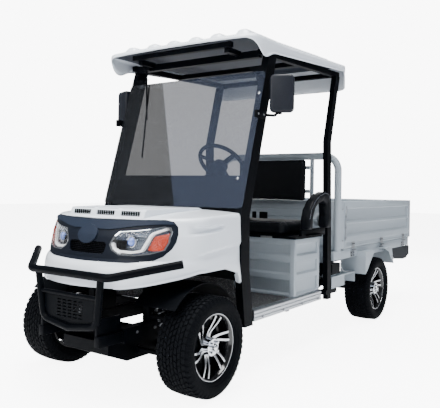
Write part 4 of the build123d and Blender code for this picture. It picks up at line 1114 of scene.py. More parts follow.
def make_lamp(side):
    """One headlamp: chrome bowl, light guide, projector, indicator and clear cover."""
    def lamp_part(name, inset, wall, outline):
        return nose_part(name, LAMP_HEIGHTS, inset, 0.8, wall, [(side * x, z) for x, z in outline])

    def loop(grow):
        middle_x, middle_z = LAMP_MIDDLE
        return [(middle_x + (x - middle_x) * grow, middle_z + (z - middle_z) * grow) for x, z in LAMP_OUTLINE]

    # the bowl's darkened chrome is painted shade in the recess
    bowl = dress(smooth(lamp_part("bowl", 0.03, 0.004, loop(1.0))), "fluted_chrome")
    bezel = lamp_part("bezel", -0.001, 0.034, loop(1.0))
    cut(bezel, front_tool([(side * x, z) for x, z in loop(0.93)]))
    dress(soften(bezel, 0.0015, 1, 40), "plated_chrome")
    guide = lamp_part("guide", 0.006, 0.018, band(arc_corners(LIGHT_GUIDE, 0.016, 4, False), LIGHT_GUIDE_HALF_W))
    dress(soften(guide, 0.002, 2, 40), "opal_light_guide")
    amber = lamp_part("amber", 0.009, 0.012, AMBER_OUTLINE)
    dress(soften(amber, 0.0015, 1, 40), "amber_acrylic")
    eye = on_nose(side * PROJECTOR[0], PROJECTOR[1], 0.02) + PROJECTOR_BACK
    clear()
    bpy.ops.mesh.primitive_uv_sphere_add(segments=40, ring_count=20, radius=PROJECTOR_R, location=eye)
    lens = dress(smooth(named("projector"), 80), "coated_projector_glass")
    collar = dress(drum("collar", eye, Y_AXIS, 0.034, 0.02, 0.002, hole=PROJECTOR_R + 0.0002), "plated_chrome")
    cover = dress(smooth(lamp_part("cover", 0.001, 0.0025, loop(0.985)), 40), "clear_polycarbonate")
    return join([bowl, bezel, guide, amber, lens, collar, cover], "lamp")


class CART_OT_nose(bpy.types.Operator):
    """Cowl, hood intakes, fascia and headlamps"""

    bl_idname = "cart.nose"
    bl_label = "Nose"

    def execute(self, context):
        white = [make_cowl(), make_scoop()]
        flange, liner = make_arch()
        white.append(both_sides(flange, "flanges"))
        finish(join(white, "cowl_moulding"), "white_shell", "front_cowl")
        finish(both_sides(liner, "arch_liners"), "black_plastic")
        finish(make_vents(), "black_plastic", "hood_vents")
        finish(make_fascia(), "dark_trim", "front_fascia")
        lamps = join([make_lamp(1), make_lamp(-1)], "headlamp_units")
        finish(lamps, "lamp", "headlights")
        return {"FINISHED"}


# ------------ roof
ROOF_HALF_W = 0.65
ROOF_FRONT, ROOF_REAR = 0.361, 1.867
BRIM_EDGE = (
    (0.361, 2.122), (0.39, 2.118), (0.415, 2.104), (0.44, 2.08), (0.46, 2.055), (0.478, 2.038),
    (0.5, 2.024), (0.525, 2.019), (0.55, 2.022), (0.585, 2.038), (0.62, 2.053), (0.66, 2.061),
    (0.7, 2.064), (1.244, 2.102), (1.76, 2.138), (1.78, 2.11), (1.8, 2.06), (1.812, 2.01),
    (1.867, 2.001))
SHOULDER = ((0.361, 2.15), (0.47, 2.151), (0.856, 2.153), (1.774, 2.196), (1.867, 2.19))
RIB_XS = (-0.491, -0.281, -0.097, 0.097, 0.281, 0.491)
RIB_HALF_W, RIB_H = 0.052, 0.032
REAR_CORNER_R, ROOF_EDGE_R, ROOF_WALL, PLATEAU_H, ROOF_PEAK = 0.11, 0.022, 0.0045, 0.026, 2.2395
SHADE_SHEET_DROP = 0.014
# distance in from the plan, and height: a share of the wall, then metres over the brim
BRIM = (
    (0.0006, 1.0, 0.0), (0.0, 0.93, 0.0), (0.0016, 0.8, 0.0), (0.0075, 0.55, 0.0), (0.0105, 0.28, 0.004),
    (0.01, 0.0, 0.018), (0.0075, 0.0, 0.0142), (0.0025, 0.0, 0.0128), (0.0004, 0.0, 0.0105),
    (0.0, 0.0, 0.0066), (0.0006, 0.0, 0.0028), (0.0026, 0.0, 0.0006), (0.0052, 0.0, 0.0))


def roof_front(x):
    """Station of the roof's front edge at x."""
    x = abs(x)
    if x < 0.5:
        return ROOF_FRONT + 0.015 * (x / 0.5) ** 2
    t = min((x - 0.5) / (ROOF_HALF_W - 0.5), 1.0)
    return ROOF_FRONT + 0.015 + 0.01 * t + 0.104 * (1 - sqrt(1 - t ** 3.4))


def roof_rear(x):
    """Station of the roof's rear edge at x."""
    over = max(abs(x) - (ROOF_HALF_W - REAR_CORNER_R), 0)
    return ROOF_REAR - REAR_CORNER_R + sqrt(max(REAR_CORNER_R ** 2 - over ** 2, 0))


def roof_base(x, y):
    """Height of the roof's skin with its raised middle, without the ribs."""
    plateau = (1 - ease(abs(x), 0.555, 0.59)) * ease(y, 0.44, 0.5) * (1 - ease(y, 1.738, 1.762))
    return between(y, SHOULDER)[0] + PLATEAU_H * plateau


def roof_top(x, y):
    """Height of the roof's skin, with its raised middle and ribs."""
    z = roof_base(x, y)
    for rib_x in RIB_XS:
        across = abs(x - rib_x) / RIB_HALF_W
        if across < 1:
            along = ease(y, 0.448, 0.492) * (1 - ease(y, 1.69, 1.738))
            z += RIB_H * along * (1 - across ** 4) * min(1.0, (1 - across) * 4)
    return min(z, ROOF_PEAK)


def make_roof():
    """The moulded roof: ribbed skin, rounded shoulder, walled brim, and a dark sheet beneath as painted shade."""
    xs = [-ROOF_HALF_W + 2 * ROOF_HALF_W * i / 130 for i in range(131)]
    shares = [0.0, 0.004, 0.01, 0.018, 0.028] + [0.04 + 0.92 * i / 74 for i in range(75)]
    rows = []
    for share in shares + [0.972, 0.982, 0.99, 0.996, 1.0]:
        row = []
        for x in xs:
            front, rear = roof_front(x), roof_rear(x)
            y = front + (rear - front) * share
            gap = min(y - front, rear - y, ROOF_HALF_W - abs(x))
            climb = ROOF_EDGE_R - min(max(gap, 0), ROOF_EDGE_R)
            fall = ROOF_EDGE_R - sqrt(max(ROOF_EDGE_R ** 2 - climb ** 2, 0))
            row.append((x, at(y), roof_top(x, y) - fall))
        rows.append(row)
    top = thicken(tidy(skin("roof", rows)), ROOF_WALL)
    # a dark sheet just under the skin: painted shade on the roof's underside
    roof_shade_sheet = skin("roof_shade_sheet", [[(x, at(y), roof_base(x, y) - SHADE_SHEET_DROP) for x in steps_from(-0.62, 0.02, 63)]
                             for y in steps_from(0.445, 0.0225, 61)])
    dress(smooth(tidy(roof_shade_sheet), 60), "painted_roof_shade")
    ring = roof_ring()
    rows = []
    for inset, share, lift in BRIM:
        row = []
        for spot, normal in ring:
            edge = between(spot.y, BRIM_EDGE)[0]
            wall = roof_top(spot.x, spot.y) - ROOF_EDGE_R - edge
            here = spot - normal * inset
            row.append((here.x, at(here.y), edge + lift + wall * share))
        rows.append(row + row[:1])
    brim = apply(tidy(skin("brim", rows)), "SOLIDIFY", thickness=ROOF_WALL, offset=-1)
    shell = dress(smooth(join([top, brim], "roof"), 38), "moulded_white_abs")
    return join([shell, roof_shade_sheet], "roof_moulding")


RING_GAP = 0.006


def roof_ring():
    """Points of the roof's plan all the way round, each with its outward normal."""
    half = [ROOF_HALF_W * sin(pi / 2 * i / 60) for i in range(61)]
    right = [Vector((x, roof_front(x))) for x in half]
    right += [Vector((ROOF_HALF_W, 0.5 + 1.24 * i / 60)) for i in range(61)]
    right += [Vector((x, roof_rear(x))) for x in reversed(half)]
    plan = right + [Vector((-p.x, p.y)) for p in reversed(right)]
    kept = [plan[0]]
    for point in plan[1:]:
        if (point - kept[-1]).length > RING_GAP:
            kept.append(point)
    if (kept[-1] - kept[0]).length < RING_GAP:
        kept.pop()
    ring = []
    for index, point in enumerate(kept):
        run = (kept[(index + 1) % len(kept)] - kept[index - 1]).normalized()
        ring.append((point, Vector((run.y, -run.x))))
    return ring


class CART_OT_roof(bpy.types.Operator):
    """Ribbed roof with its brim"""

    bl_idname = "cart.roof"
    bl_label = "Roof"

    def execute(self, context):
        finish(make_roof(), "white_shell", "roof_panel")
        return {"FINISHED"}


# ------------ brush guard
# right half of each bent tube: x, station, height
GUARD_BAR = ((0.317, -0.49, 0.692), (0.602, -0.22, 0.7655))
GUARD_HOOP = ((0.217, -0.47, 0.417), (0.256, -0.484, 0.69))
HOOP_FOOT = (0, -0.475, 0.387)
PLATE_OUTLINE = ((-0.236, 0.56), (0.236, 0.56), (0.205, 0.43), (0, 0.398), (-0.205, 0.43))
PLATE_AT = -0.47
SLOT_ROWS, SLOT_COLUMNS = 6, 5
# x, half width, lower and upper height, edge radius of the arms that carry the guard
GUARD_ARMS = ((0.23, 0.02, 0.31, 0.37, 0.004), (0.222, 0.008, 0.37, 0.46, 0.002))


def symmetric(half, middle=()):
    """A route from its right half, its mirror and the points between: x, station, height."""
    route = [(-x, y, z) for x, y, z in reversed(half)] + list(middle) + list(half)
    return [(x, at(y), z) for x, y, z in route]


class CART_OT_guard(bpy.types.Operator):
    """Tubular brush guard with its slotted plate"""

    bl_idname = "cart.guard"
    bl_label = "Brush guard"

    def execute(self, context):
        tubes = [pipe("bar", symmetric(GUARD_BAR), 0.0229, 0.09, resolution=8, steps=10),
                 pipe("hoop", symmetric(GUARD_HOOP, (HOOP_FOOT,)), 0.0199, 0.06, resolution=8),
                 pipe("cross", symmetric(((0.24, -0.478, 0.572),)), 0.012)]
        plate = prism("plate", [(x, at(PLATE_AT), z) for x, z in PLATE_OUTLINE], (0, 0.003, 0))
        slots = []
        for row in range(SLOT_ROWS):
            for column in range(SLOT_COLUMNS):
                x, z = (column - 2) * 0.044, 0.445 + row * 0.018
                slots.append(brick(x, 0.015, (-0.49, -0.45), (z - 0.004, z + 0.004)))
        cut(plate, join(slots, "tool"))
        arms = [brick(side * x, half, (-0.48, -0.301), (low, high), bevel)
                for side in (-1, 1) for x, half, low, high, bevel in GUARD_ARMS]
        guard = dress(join(tubes + [plate] + arms, "brush_guard_tubes"), "powder_coated_steel_black")
        finish(guard, "black_steel", "brush_guard")
        return {"FINISHED"}


# ------------ mirrors, steering wheel, wiper, screen
MIRROR_TURN, MIRROR_AT = radians(22), (0.712, at(0.62), 1.796)
POD_HALF_W, POD_HALF_H, POD_CORNER_R, POD_T = 0.079, 0.124, 0.03, 0.054
STALK = ((0.612, 0.56, 1.653), (0.668, 0.628, 1.653), (0.69, 0.64, 1.712))


def oblong(half_w, low, high, radius, steps):
    """A flat oblong with rounded corners, between two limits the other way."""
    return arc_corners(((-half_w, low), (half_w, low), (half_w, high), (-half_w, high)), radius, steps)


def make_mirror():
    """The left mirror: a rounded pod with its glass, stalk and clamp."""
    shape = oblong(POD_HALF_W, -POD_HALF_H, POD_HALF_H, POD_CORNER_R, 6)
    pod = prism("pod", [(x, 0.001, z) for x, z in shape], (0, POD_T, 0), 0.016, 5)
    glass = prism("glass", [(x * 0.89, POD_T + 0.0005, z * 0.93) for x, z in shape], (0, 0.0015, 0), 0.0006, 1)
    for part, material in ((pod, "moulded_slate_pp"), (glass, "silvered_mirror")):
        dress(part, material)
        part.data.transform(Matrix.Translation(MIRROR_AT) @ Matrix.Rotation(MIRROR_TURN, 4, "Z"))
    stalk = pipe("stalk", [(x, at(y), z) for x, y, z in STALK], 0.0095, 0.025)
    clamp = block("clamp", (0.6005, at(0.472), 1.629), (0.6215, at(0.574), 1.677), 0.004)
    collar = drum("collar", (0.689, at(0.6395), 1.672), (0.03, 0.015, 0.9), 0.016, 0.02, 0.003, sides=24)
    parts = dress_bare([pod, glass, stalk, clamp, collar], "moulded_black_pp")
    parts += [bolt((0.6216, at(station), 1.653), X_AXIS, 0.007, 0.004) for station in (0.49, 0.556)]
    return join(parts, "mirror")


HUB = Vector((0.25, at(0.625), 1.345))
COLUMN_DIR = Vector((0, sin(radians(45)), cos(radians(45))))
RING_R, GRIP_R, FINGER_GRIPS = 0.165, 0.0142, 40
THUMB_RESTS, SPOKE_ANGLES = (52, 128), (90, 210, 330)


def make_wheel():
    """The steering wheel: grip with thumb rests, three spokes, dished hub."""
    clear()
    bpy.ops.mesh.primitive_torus_add(major_segments=96, minor_segments=16, major_radius=RING_R, minor_radius=GRIP_R)
    ring = named("grip")
    for vertex in ring.data.vertices:
        angle = atan2(vertex.co.y, vertex.co.x)
        centre = Vector((cos(angle), sin(angle), 0)) * RING_R
        off = vertex.co - centre
        swell = sum(0.1 * max(0.0, 1 - abs(((angle - radians(a) + pi) % (2 * pi)) - pi) / 0.22)
                    for a in THUMB_RESTS)
        # finger grips on the underside
        dent = 0.05 * cos(angle * FINGER_GRIPS) * max(0.0, -off.z / GRIP_R)
        vertex.co = centre + off * (min(1.0 + swell, 1.05) - abs(dent))
    parts = [ring]
    for angle in SPOKE_ANGLES:
        out = Vector((cos(radians(angle)), sin(radians(angle)), 0))
        parts.append(beam("spoke", out * 0.034 + Vector((0, 0, -0.014)), out * 0.157 + Vector((0, 0, -0.004)),
                          0.032,
                          0.01, side=Vector(Z_AXIS).cross(out), bevel=0.004))
    parts.append(drum("hub", (0, 0, -0.021), Z_AXIS, 0.051, 0.033, 0.008))
    dress_bare(parts, "moulded_black_pp")
    parts.append(dress(drum("pad", (0, 0, -0.0055), Z_AXIS, 0.034, 0.006, 0.002), "gloss_black_paint"))
    wheel = join(parts, "steering_wheel_moulding")
    tilt = Vector(Z_AXIS).rotation_difference(COLUMN_DIR).to_matrix().to_4x4()
    wheel.data.transform(Matrix.Translation(HUB) @ tilt)
    return wheel


GLASS_FOOT, GLASS_TOP = Vector((0, at(0.347), 1.053)), Vector((0, at(0.607), 1.95))
GLASS_RUN = (GLASS_TOP - GLASS_FOOT).normalized()
GLASS_OUT = GLASS_RUN.cross(Vector(X_AXIS))
GLASS_T, GLASS_HALF_W, GLASS_CORNER_R = 0.005, 0.5995, 0.025
# x and distance up the screen of its fixing screws, and of the ends of the wiper's blade
SCREEN_SCREWS = ((-0.566, 0.193), (0.518, 0.197), (-0.575, 0.882), (0.569, 0.782))
BLADE_TOP, BLADE_FOOT = (-0.424, 0.93), (-0.336, 0.353)


def on_glass(x, up, out=0.0):
    """A point of the screen: x, distance up it, distance in front of it."""
    return GLASS_FOOT + Vector((x, 0, 0)) + GLASS_RUN * up + GLASS_OUT * (GLASS_T + out)


def make_wiper():
    """Motor box, sprung arm and blade."""
    motor = Vector((-0.425, at(0.588), 2.068))
    run = on_glass(-0.38, 0.649, 0.018) - motor
    parts = [
        block("motor", (-0.45, at(0.575), 2.045), (-0.4, at(0.604), 2.089), 0.006),
        beam("arm", motor + run * 0.02, motor + run, 0.0125, 0.007, bevel=0.002),
        beam("cover", motor + run * 0.12, motor + run * 0.42, 0.014, 0.0078, bevel=0.002),
        drum("cap", motor + Vector((0, -0.0125, -0.004)), Y_AXIS, 0.013, 0.008, 0.002, sides=24)]
    # the spine and, closer to the glass, its rubber
    for out, width, depth, bevel in ((0.011, 0.009, 0.006, 0.0015), (0.0055, 0.0025, 0.009, 0.0006)):
        parts.append(beam("blade", on_glass(*BLADE_TOP, out), on_glass(*BLADE_FOOT, out), width, depth,
                          bevel=bevel))
    return dress(join(parts, "wiper_arm"), "moulded_black_pp")


def make_screen():
    """The screen, its corners rounded."""
    length = (GLASS_TOP - GLASS_FOOT).length
    shape = oblong(GLASS_HALF_W, 0.0005, length - 0.0005, GLASS_CORNER_R, 6)
    points = [on_glass(x, up, 0.0002 - GLASS_T) for x, up in shape]
    return dress(prism("screen_pane", points, GLASS_OUT * 0.0046, 0.0012, 1), "tinted_glass_painted_reflection")


class CART_OT_cab(bpy.types.Operator):
    """Mirrors, screen, wiper, steering wheel, dashboard and pedals"""

    bl_idname = "cart.cab"
    bl_label = "Cab"

    def execute(self, context):
        finish(both_sides(make_mirror(), "mirror_pods"), "black_plastic", "mirrors")
        finish(make_wheel(), "black_plastic", "steering_wheel", body="steering_wheel")
        finish(make_wiper(), "black_plastic", "wiper")
        finish(make_screen(), "tinted_glass", "windshield")
        screws = [bolt(on_glass(x, up, -0.0002), GLASS_OUT, 0.0135, 0.003, "plated_chrome") for x,
                  up in SCREEN_SCREWS]
        finish(join(screws, "screen_screws"), "steel")
        finish(make_dash(), "black_plastic", "dashboard")
        finish(make_pedals(), "black_steel", "pedals")
        return {"FINISHED"}


# station, height: the side view of the dashboard
DASH = ((0.372, 0.86), (0.372, 1.05), (0.412, 1.195), (0.47, 1.262), (0.545, 1.248), (0.56, 1.18),
        (0.5, 1.12), (0.48, 0.86))
DASH_HALF_W, DASH_FACE, DASH_OUT = 0.5475, Vector((0, at(0.5345), 1.155)), Vector((0, 0.77, -0.64))
POCKET_XS, CUP_XS, SWITCH_XS = ((-0.5, -0.22), (-0.18, 0.02)), (-0.085, 0.055), (0.335, 0.385, 0.435)
DIAL_X, KEY_X = 0.135, 0.48
DIAL_MARKS, DIAL_START, DIAL_STEP = 11, -130, 26


def on_dash(x, out=0.0):
    """A point of the dashboard's sloping face: x, distance in front of it."""
    return DASH_FACE + Vector((x, 0, 0)) + DASH_OUT * out


def make_dash():
    """The dashboard: pockets, instrument, switches, key and cup holders."""
    dash = side_solid("dash", [(at(y), z) for y, z in DASH], (-DASH_HALF_W, DASH_HALF_W), 0.01, 3)
    for low, high in POCKET_XS:
        cut(dash, block("tool", (low, at(0.43), 0.93), (high, at(0.56), 1.09), 0.015, 3))
    for x in CUP_XS:
        cut(dash, drum("tool", (x, at(0.522), 1.262), Z_AXIS, 0.036, 0.09, sides=40))
    parts = [dress(smooth(dash, 30), "moulded_black_pp")]
    parts.append(dress(drum("dial_ring", on_dash(DIAL_X), DASH_OUT, 0.04, 0.014, 0.002), "plated_chrome"))
    parts.append(dress(drum("dial_face", on_dash(DIAL_X, 0.0062), DASH_OUT, 0.036, 0.003, 0.0008),
                       "gloss_black_paint"))
    up = DASH_OUT.cross(Vector(X_AXIS)).normalized()
    for step in range(DIAL_MARKS):
        angle = radians(DIAL_START + DIAL_STEP * step)
        ray = Vector(X_AXIS) * sin(angle) + up * cos(angle)
        middle = on_dash(DIAL_X, 0.0079)
        mark = beam("mark", middle + ray * 0.025, middle + ray * 0.031, 0.0016, 0.0008, DASH_OUT.cross(ray), 0)
        parts.append(dress(mark, "opal_light_guide"))
    for x in SWITCH_XS:
        switch = beam("switch", on_dash(x, -0.006), on_dash(x, 0.006), 0.026, 0.04)
        parts.append(dress(switch, "gloss_black_paint"))
    parts.append(dress(drum("key", on_dash(KEY_X), DASH_OUT, 0.014, 0.016, 0.002, sides=32), "plated_chrome"))
    return join(parts, "dashboard_moulding")


def make_pedals():
    """Two hanging pedals with ribbed pads."""
    parts = []
    for x, half in ((0.205, 0.03), (0.33, 0.023)):
        parts.append(beam("arm", (x, at(0.392), 0.7), (x, at(0.452), 0.48), 0.0135, 0.0135))
        parts.append(brick(x, half, (0.4405, 0.453), (0.4405, 0.5195), 0.003))
        for row in range(5):
            z = 0.45 + row * 0.015
            parts.append(brick(x, half - 0.004, (0.452, 0.4558), (z - 0.003, z + 0.003), 0.001, 1))
        parts.append(brick(x, 0.0195, (0.3505, 0.3995), (0.6905, 0.7195), 0.003))
    return dress(join(parts, "pedal_set"), "powder_coated_steel_black")


# ------------ seat
CUSHION_HALF_W, CUSHION_STATIONS, CUSHION_FOOT, CUSHION_T = 0.494, (1.07, 1.554), 0.846, 0.078
BACK_HALF_W, BACK_HEIGHTS, BACK_AT, BACK_T = 0.326, (1.084, 1.433), 1.713, 0.052
FIRM_SWELL = 0.006
SEAM_X, SEAM_STATIONS, SEAM_Z = 0.455, (1.098, 1.526), 0.945
ARM_SEAM_X, ARM_MIDDLE, ARM_SEAM_SHARES = 0.664, (1.372, 0.985), (0.985, 0.955)


def make_cushion(swell):
    """The seat cushion: a stuffed pad with two sewn channels."""
    front, rear = (at(y) for y in CUSHION_STATIONS)
    plan = oblong(CUSHION_HALF_W, front, rear, 0.045, 6)
    cushion = prism("seat_cushion_pad", [(x, y, CUSHION_FOOT) for x, y in plan], (0, 0, CUSHION_T), 0.022, 4)
    stuff(cushion, 0.0075, swell * 0.6, CUSHION_FOOT - 0.0005)
    channels(cushion)
    return dress(cushion, "expanded_black_vinyl")


def make_back():
    """The backrest: a firm pad with rounded corners."""
    face = oblong(BACK_HALF_W, *BACK_HEIGHTS, 0.022, 5)
    back = prism("seat_back_pad", [(x, at(BACK_AT), z) for x, z in face], (0, BACK_T, 0), 0.012, 3)
    return dress(stuff(back, 0.007, FIRM_SWELL), "expanded_black_vinyl")


class CART_OT_seat(bpy.types.Operator):
    """Seat box, cushion, backrest and armrests, with their seams"""

    bl_idname = "cart.seat"
    bl_label = "Seat"

    def execute(self, context):
        cushion = make_cushion(context.scene.cart_sizes.seat_swell)
        finish(cushion, "vinyl", "seat_cushion", body="seat_lid")
        back = make_back()
        finish(back, "vinyl", "seat_back")
        pads = both_sides(make_armrest(), "armrest_pads")
        finish(pads, "vinyl", "armrests")
        finish(make_seat_box(), "grey_steel", "seat_box")
        front, rear = (at(y) for y in SEAM_STATIONS)
        ends = [((-SEAM_X, y), (SEAM_X, y)) for y in (front, rear)] + [((x, front), (x, rear))
                                                                       for x in (-SEAM_X, SEAM_X)]
        thread = [stitches("seam", cushion, [(*start, SEAM_Z), (*end, SEAM_Z)]) for start, end in ends]
        finish(join(thread, "seat_stitching"), "vinyl", body="seat_lid")
        rows = []
        middle_y, middle_z = ARM_MIDDLE
        for share in ARM_SEAM_SHARES:
            loop = [(ARM_SEAM_X, at(middle_y + (y - middle_y) * share), middle_z + (z - middle_z) * share)
                    for y, z in ARM_LOOP[1:-1]]
            rows.append(stitches("seam", pads, rounded(loop, 0.05, 3)))
        finish(both_sides(join(rows, "seam"), "armrest_stitching"), "vinyl")
        return {"FINISHED"}


BOX_HALF_W, BOX_STATIONS, BOX_HEIGHTS, BOX_WALL = 0.5795, (1.0855, 1.4995), (0.4005, 0.8175), 0.0215
BOX_RECESSES, RECESS_DEPTH = ((0.411, 0.52), (0.555, 0.65), (0.691, 0.779)), 0.015


def make_seat_box():
    """The pressed seat box: a hollow shell, three sloped recesses in each face."""
    front, rear = BOX_STATIONS
    box = block("seat_box_pressing", (-BOX_HALF_W, at(front), BOX_HEIGHTS[0]),
                (BOX_HALF_W, at(rear), BOX_HEIGHTS[1]))
    cut(box, brick(0, BOX_HALF_W - BOX_WALL, (front + BOX_WALL, 1.488), (0.39, 0.83)))
    for low, high in BOX_RECESSES:
        shape = ((-0.001, low), (RECESS_DEPTH, low + 0.016), (RECESS_DEPTH, high - 0.006), (-0.001, high))
        cut(box, prism("tool", [(-0.542, at(front + d), z) for d, z in shape], (1.084, 0, 0)))
        for side in (-1, 1):
            cut(box, prism("tool", [(side * (BOX_HALF_W - d), at(1.123), z) for d, z in shape], (0, 0.339, 0)))
    return dress(soften(box, 0.002, 2, 25), "powder_coated_steel_grey")


ARM_LOOP = (
    (1.16, 0.885), (1.168, 0.965), (1.195, 1.035), (1.262, 1.104), (1.34, 1.145), (1.44, 1.168),
    (1.512, 1.154), (1.545, 1.085), (1.568, 0.96), (1.56, 0.885))
ARM_GAP = (
    (1.236, 0.88), (1.246, 0.975), (1.282, 1.038), (1.34, 1.076), (1.42, 1.092), (1.466, 1.066),
    (1.48, 0.985), (1.474, 0.88))
ARM_X, ARM_FOOT_Z = (0.575, 0.652), 0.8865


def make_armrest():
    """The left armrest: a padded arch on its steel foot."""
    middle_y, middle_z = 1.37, 0.985
    loop = rounded([(0, y, z) for y, z in ARM_LOOP], 0.03, 3)
    outer = [(p.y + (middle_y - p.y) * 0.016, p.z + (middle_z - p.z) * 0.016) for p in loop]
    arch = side_solid("arm", [(at(y), max(z, ARM_FOOT_Z)) for y, z in outer], ARM_X)
    gap = rounded([(0, y, z) for y, z in ARM_GAP], 0.03, 3)
    cut(arch, side_solid("tool", [(at(p.y + (p.y - 1.36) * 0.02), p.z + 0.003) for p in gap], (0.5, 0.7)))
    soften(arch, 0.012, 3, 50)
    dress(stuff(arch, 0.006, FIRM_SWELL, ARM_FOOT_Z - 0.001), "expanded_black_vinyl")
    foot = block("foot", (0.5745, at(1.161), 0.8355), (0.5975, at(1.559), ARM_FOOT_Z), 0.003)
    pan = block("pan", (0.5745, at(1.232), 0.835), (0.63, at(1.478), 0.842), 0.002)
    return join(dress_bare([arch, foot, pan], "powder_coated_steel_black"), "armrest")


CHANNEL_XS, CHANNEL_HALF_W, CHANNEL_DEPTH, CHANNELS_FROM = (-0.165, 0.165), 0.012, 0.005, 0.9


def channels(pad):
    """Presses shallow sewn channels along the top of a cushion."""
    for vertex in pad.data.vertices:
        if vertex.co.z > CHANNELS_FROM:
            for x in CHANNEL_XS:
                vertex.co.z -= CHANNEL_DEPTH * max(0.0, 1 - abs(vertex.co.x - x) / CHANNEL_HALF_W)


# ------------ bed
BED_X, BED_TOP, BED_LOW = 0.607, 1.088, 0.692
BED_FRONT, BED_REAR = 1.92, 3.655
# the recesses in a panel's outer face: low edge, foot and head of its slope, top edge, depth
RECESSES = ((0.905, 0.926, 1.023, 1.031, 0.0215), (0.788, 0.809, 0.892, 0.899, 0.0205),
            (0.705, 0.712, 0.735, 0.742, 0.006))
HINGES = (2.105, 2.805, 3.455)
PANEL_T, HINGE_Z, LATCH_X, LATCH_AT = 0.0295, 0.672, 0.6085, 1.934
# the two limits along the hinge line of each of its knuckles
KNUCKLES = ((-0.0295, -0.0105), (-0.0095, 0.0095), (0.0105, 0.0295))
GATE_AT, GATE_HINGE_INSET = 3.692, 0.12
# x limits of each lens in a tail lamp, and its material
LAMP_X, TAIL_LENSES = 0.48, ((-0.071, -0.003, "red_acrylic"), (-0.001, 0.034, "amber_acrylic"),
                              (0.036, 0.071, "opal_light_guide"))


def make_panel(name, length, hinges):
    """A pressed panel along +Y, outer face at x 0, with frame, rolled edge and hinges."""
    panel = block("panel", (-PANEL_T, 0.0005, BED_LOW + 0.0005), (0, length - 0.0005, BED_TOP - 0.0005))
    for low, foot, head, top, depth in RECESSES:
        shape = ((0.001, low), (-depth, foot), (-depth, head), (0.001, top))
        cut(panel, prism("tool", [(x, 0.038, z) for x, z in shape], (0, length - 0.076, 0)))
    for *_, top, _ in RECESSES[:2]:
        shape = ((-0.0305, top - 0.002), (-0.0225, top + 0.012), (-0.0225, top + 0.034), (-0.0305, top + 0.044))
        cut(panel, prism("tool", [(x, 0.03, z) for x, z in shape], (0, length - 0.06, 0)))
    edge_z = BED_TOP - 0.0135
    edge = pipe("edge", [(-0.015, 0.004, edge_z), (-0.015, length - 0.004, edge_z)], 0.0132, resolution=5)
    parts = dress_bare([soften(panel, 0.0025, 2, 25), edge], "powder_coated_steel_grey")
    for y in hinges:
        parts.append(block("leaf", (0.0005, y - 0.03, 0.684), (0.004, y + 0.03, 0.739), 0.0012, 1))
        for low, high in KNUCKLES:
            middle = (low + high) / 2
            parts.append(drum("barrel", (0.01, y + middle, HINGE_Z), Y_AXIS, 0.0079, high - low, 0.0012, sides=24))
            parts.append(bolt((0.0038, y + middle * 1.1, 0.722), X_AXIS, 0.005, 0.0024, "gloss_black_paint"))
    return join(dress_bare(parts, "zinc_plated_steel"), name)


def make_latch():
    """A bed-side latch: a rod in guides with a curled handle."""
    bends = ((0, 0.76), (0, 0.985), (0.022, 1.012), (0.01, 1.046))
    parts = [pipe("rod", [(LATCH_X, at(LATCH_AT + back), z) for back, z in bends], 0.0052, 0.012, resolution=4)]
    for z in (0.78, 0.868, 0.956):
        parts.append(brick(0.61025, 0.00575, (LATCH_AT - 0.01, LATCH_AT + 0.01), (z - 0.009, z + 0.009), 0.002))
    return dress(join(parts, "latch"), "zinc_plated_steel")


def make_tail_lamps():
    """The two tail lamps: a black case with a red, an amber and a white lens."""
    lamps = []
    for x in (-LAMP_X, LAMP_X):
        lamps.append(brick(x, 0.0745, (3.6925, 3.6985), (0.5155, 0.5765), 0.002))
        for low, high, glaze in TAIL_LENSES:
            lamps.append(dress(block("lens", (x + low, at(3.697), 0.519), (x + high, at(3.7038), 0.573), 0.0025),
                               glaze))
    return join(dress_bare(lamps, "moulded_black_pp"), "tail_lamp_units")


class CART_OT_bed(bpy.types.Operator):
    """Bed sides, tailgate, header hoop, floor and tail lamps"""

    bl_idname = "cart.bed"
    bl_label = "Bed"

    def execute(self, context):
        side = make_panel("side", BED_REAR - BED_FRONT, [station - BED_FRONT for station in HINGES])
        side.data.transform(Matrix.Translation((BED_X, at(BED_FRONT), 0)))
        left = join([side, make_latch()], "bed_side_left_pressing")
        finish(copy_of(left, "bed_side_right_pressing", MIRROR), "grey_steel", "bed_side_right",
                     body="bed_side_right")
        finish(left, "grey_steel", "bed_side_left", body="bed_side_left")
        width = 2 * BED_X
        gate = make_panel("tailgate_pressing", width, (GATE_HINGE_INSET, BED_X, width - GATE_HINGE_INSET))
        gate.data.transform(Matrix.Translation((BED_X, at(GATE_AT), 0)) @ Matrix.Rotation(pi / 2, 4, "Z"))
        finish(gate, "grey_steel", "tailgate", body="tailgate")
        finish(make_header(), "grey_steel", "bed_header")
        finish(make_floor(), "grey_steel", "bed_floor")
        finish(make_tail_lamps(), "tail_lamp", "tail_lamps")
        return {"FINISHED"}


HOOP_X, HOOP_AT, HOOP_TOP = 0.58, 1.83, 1.462


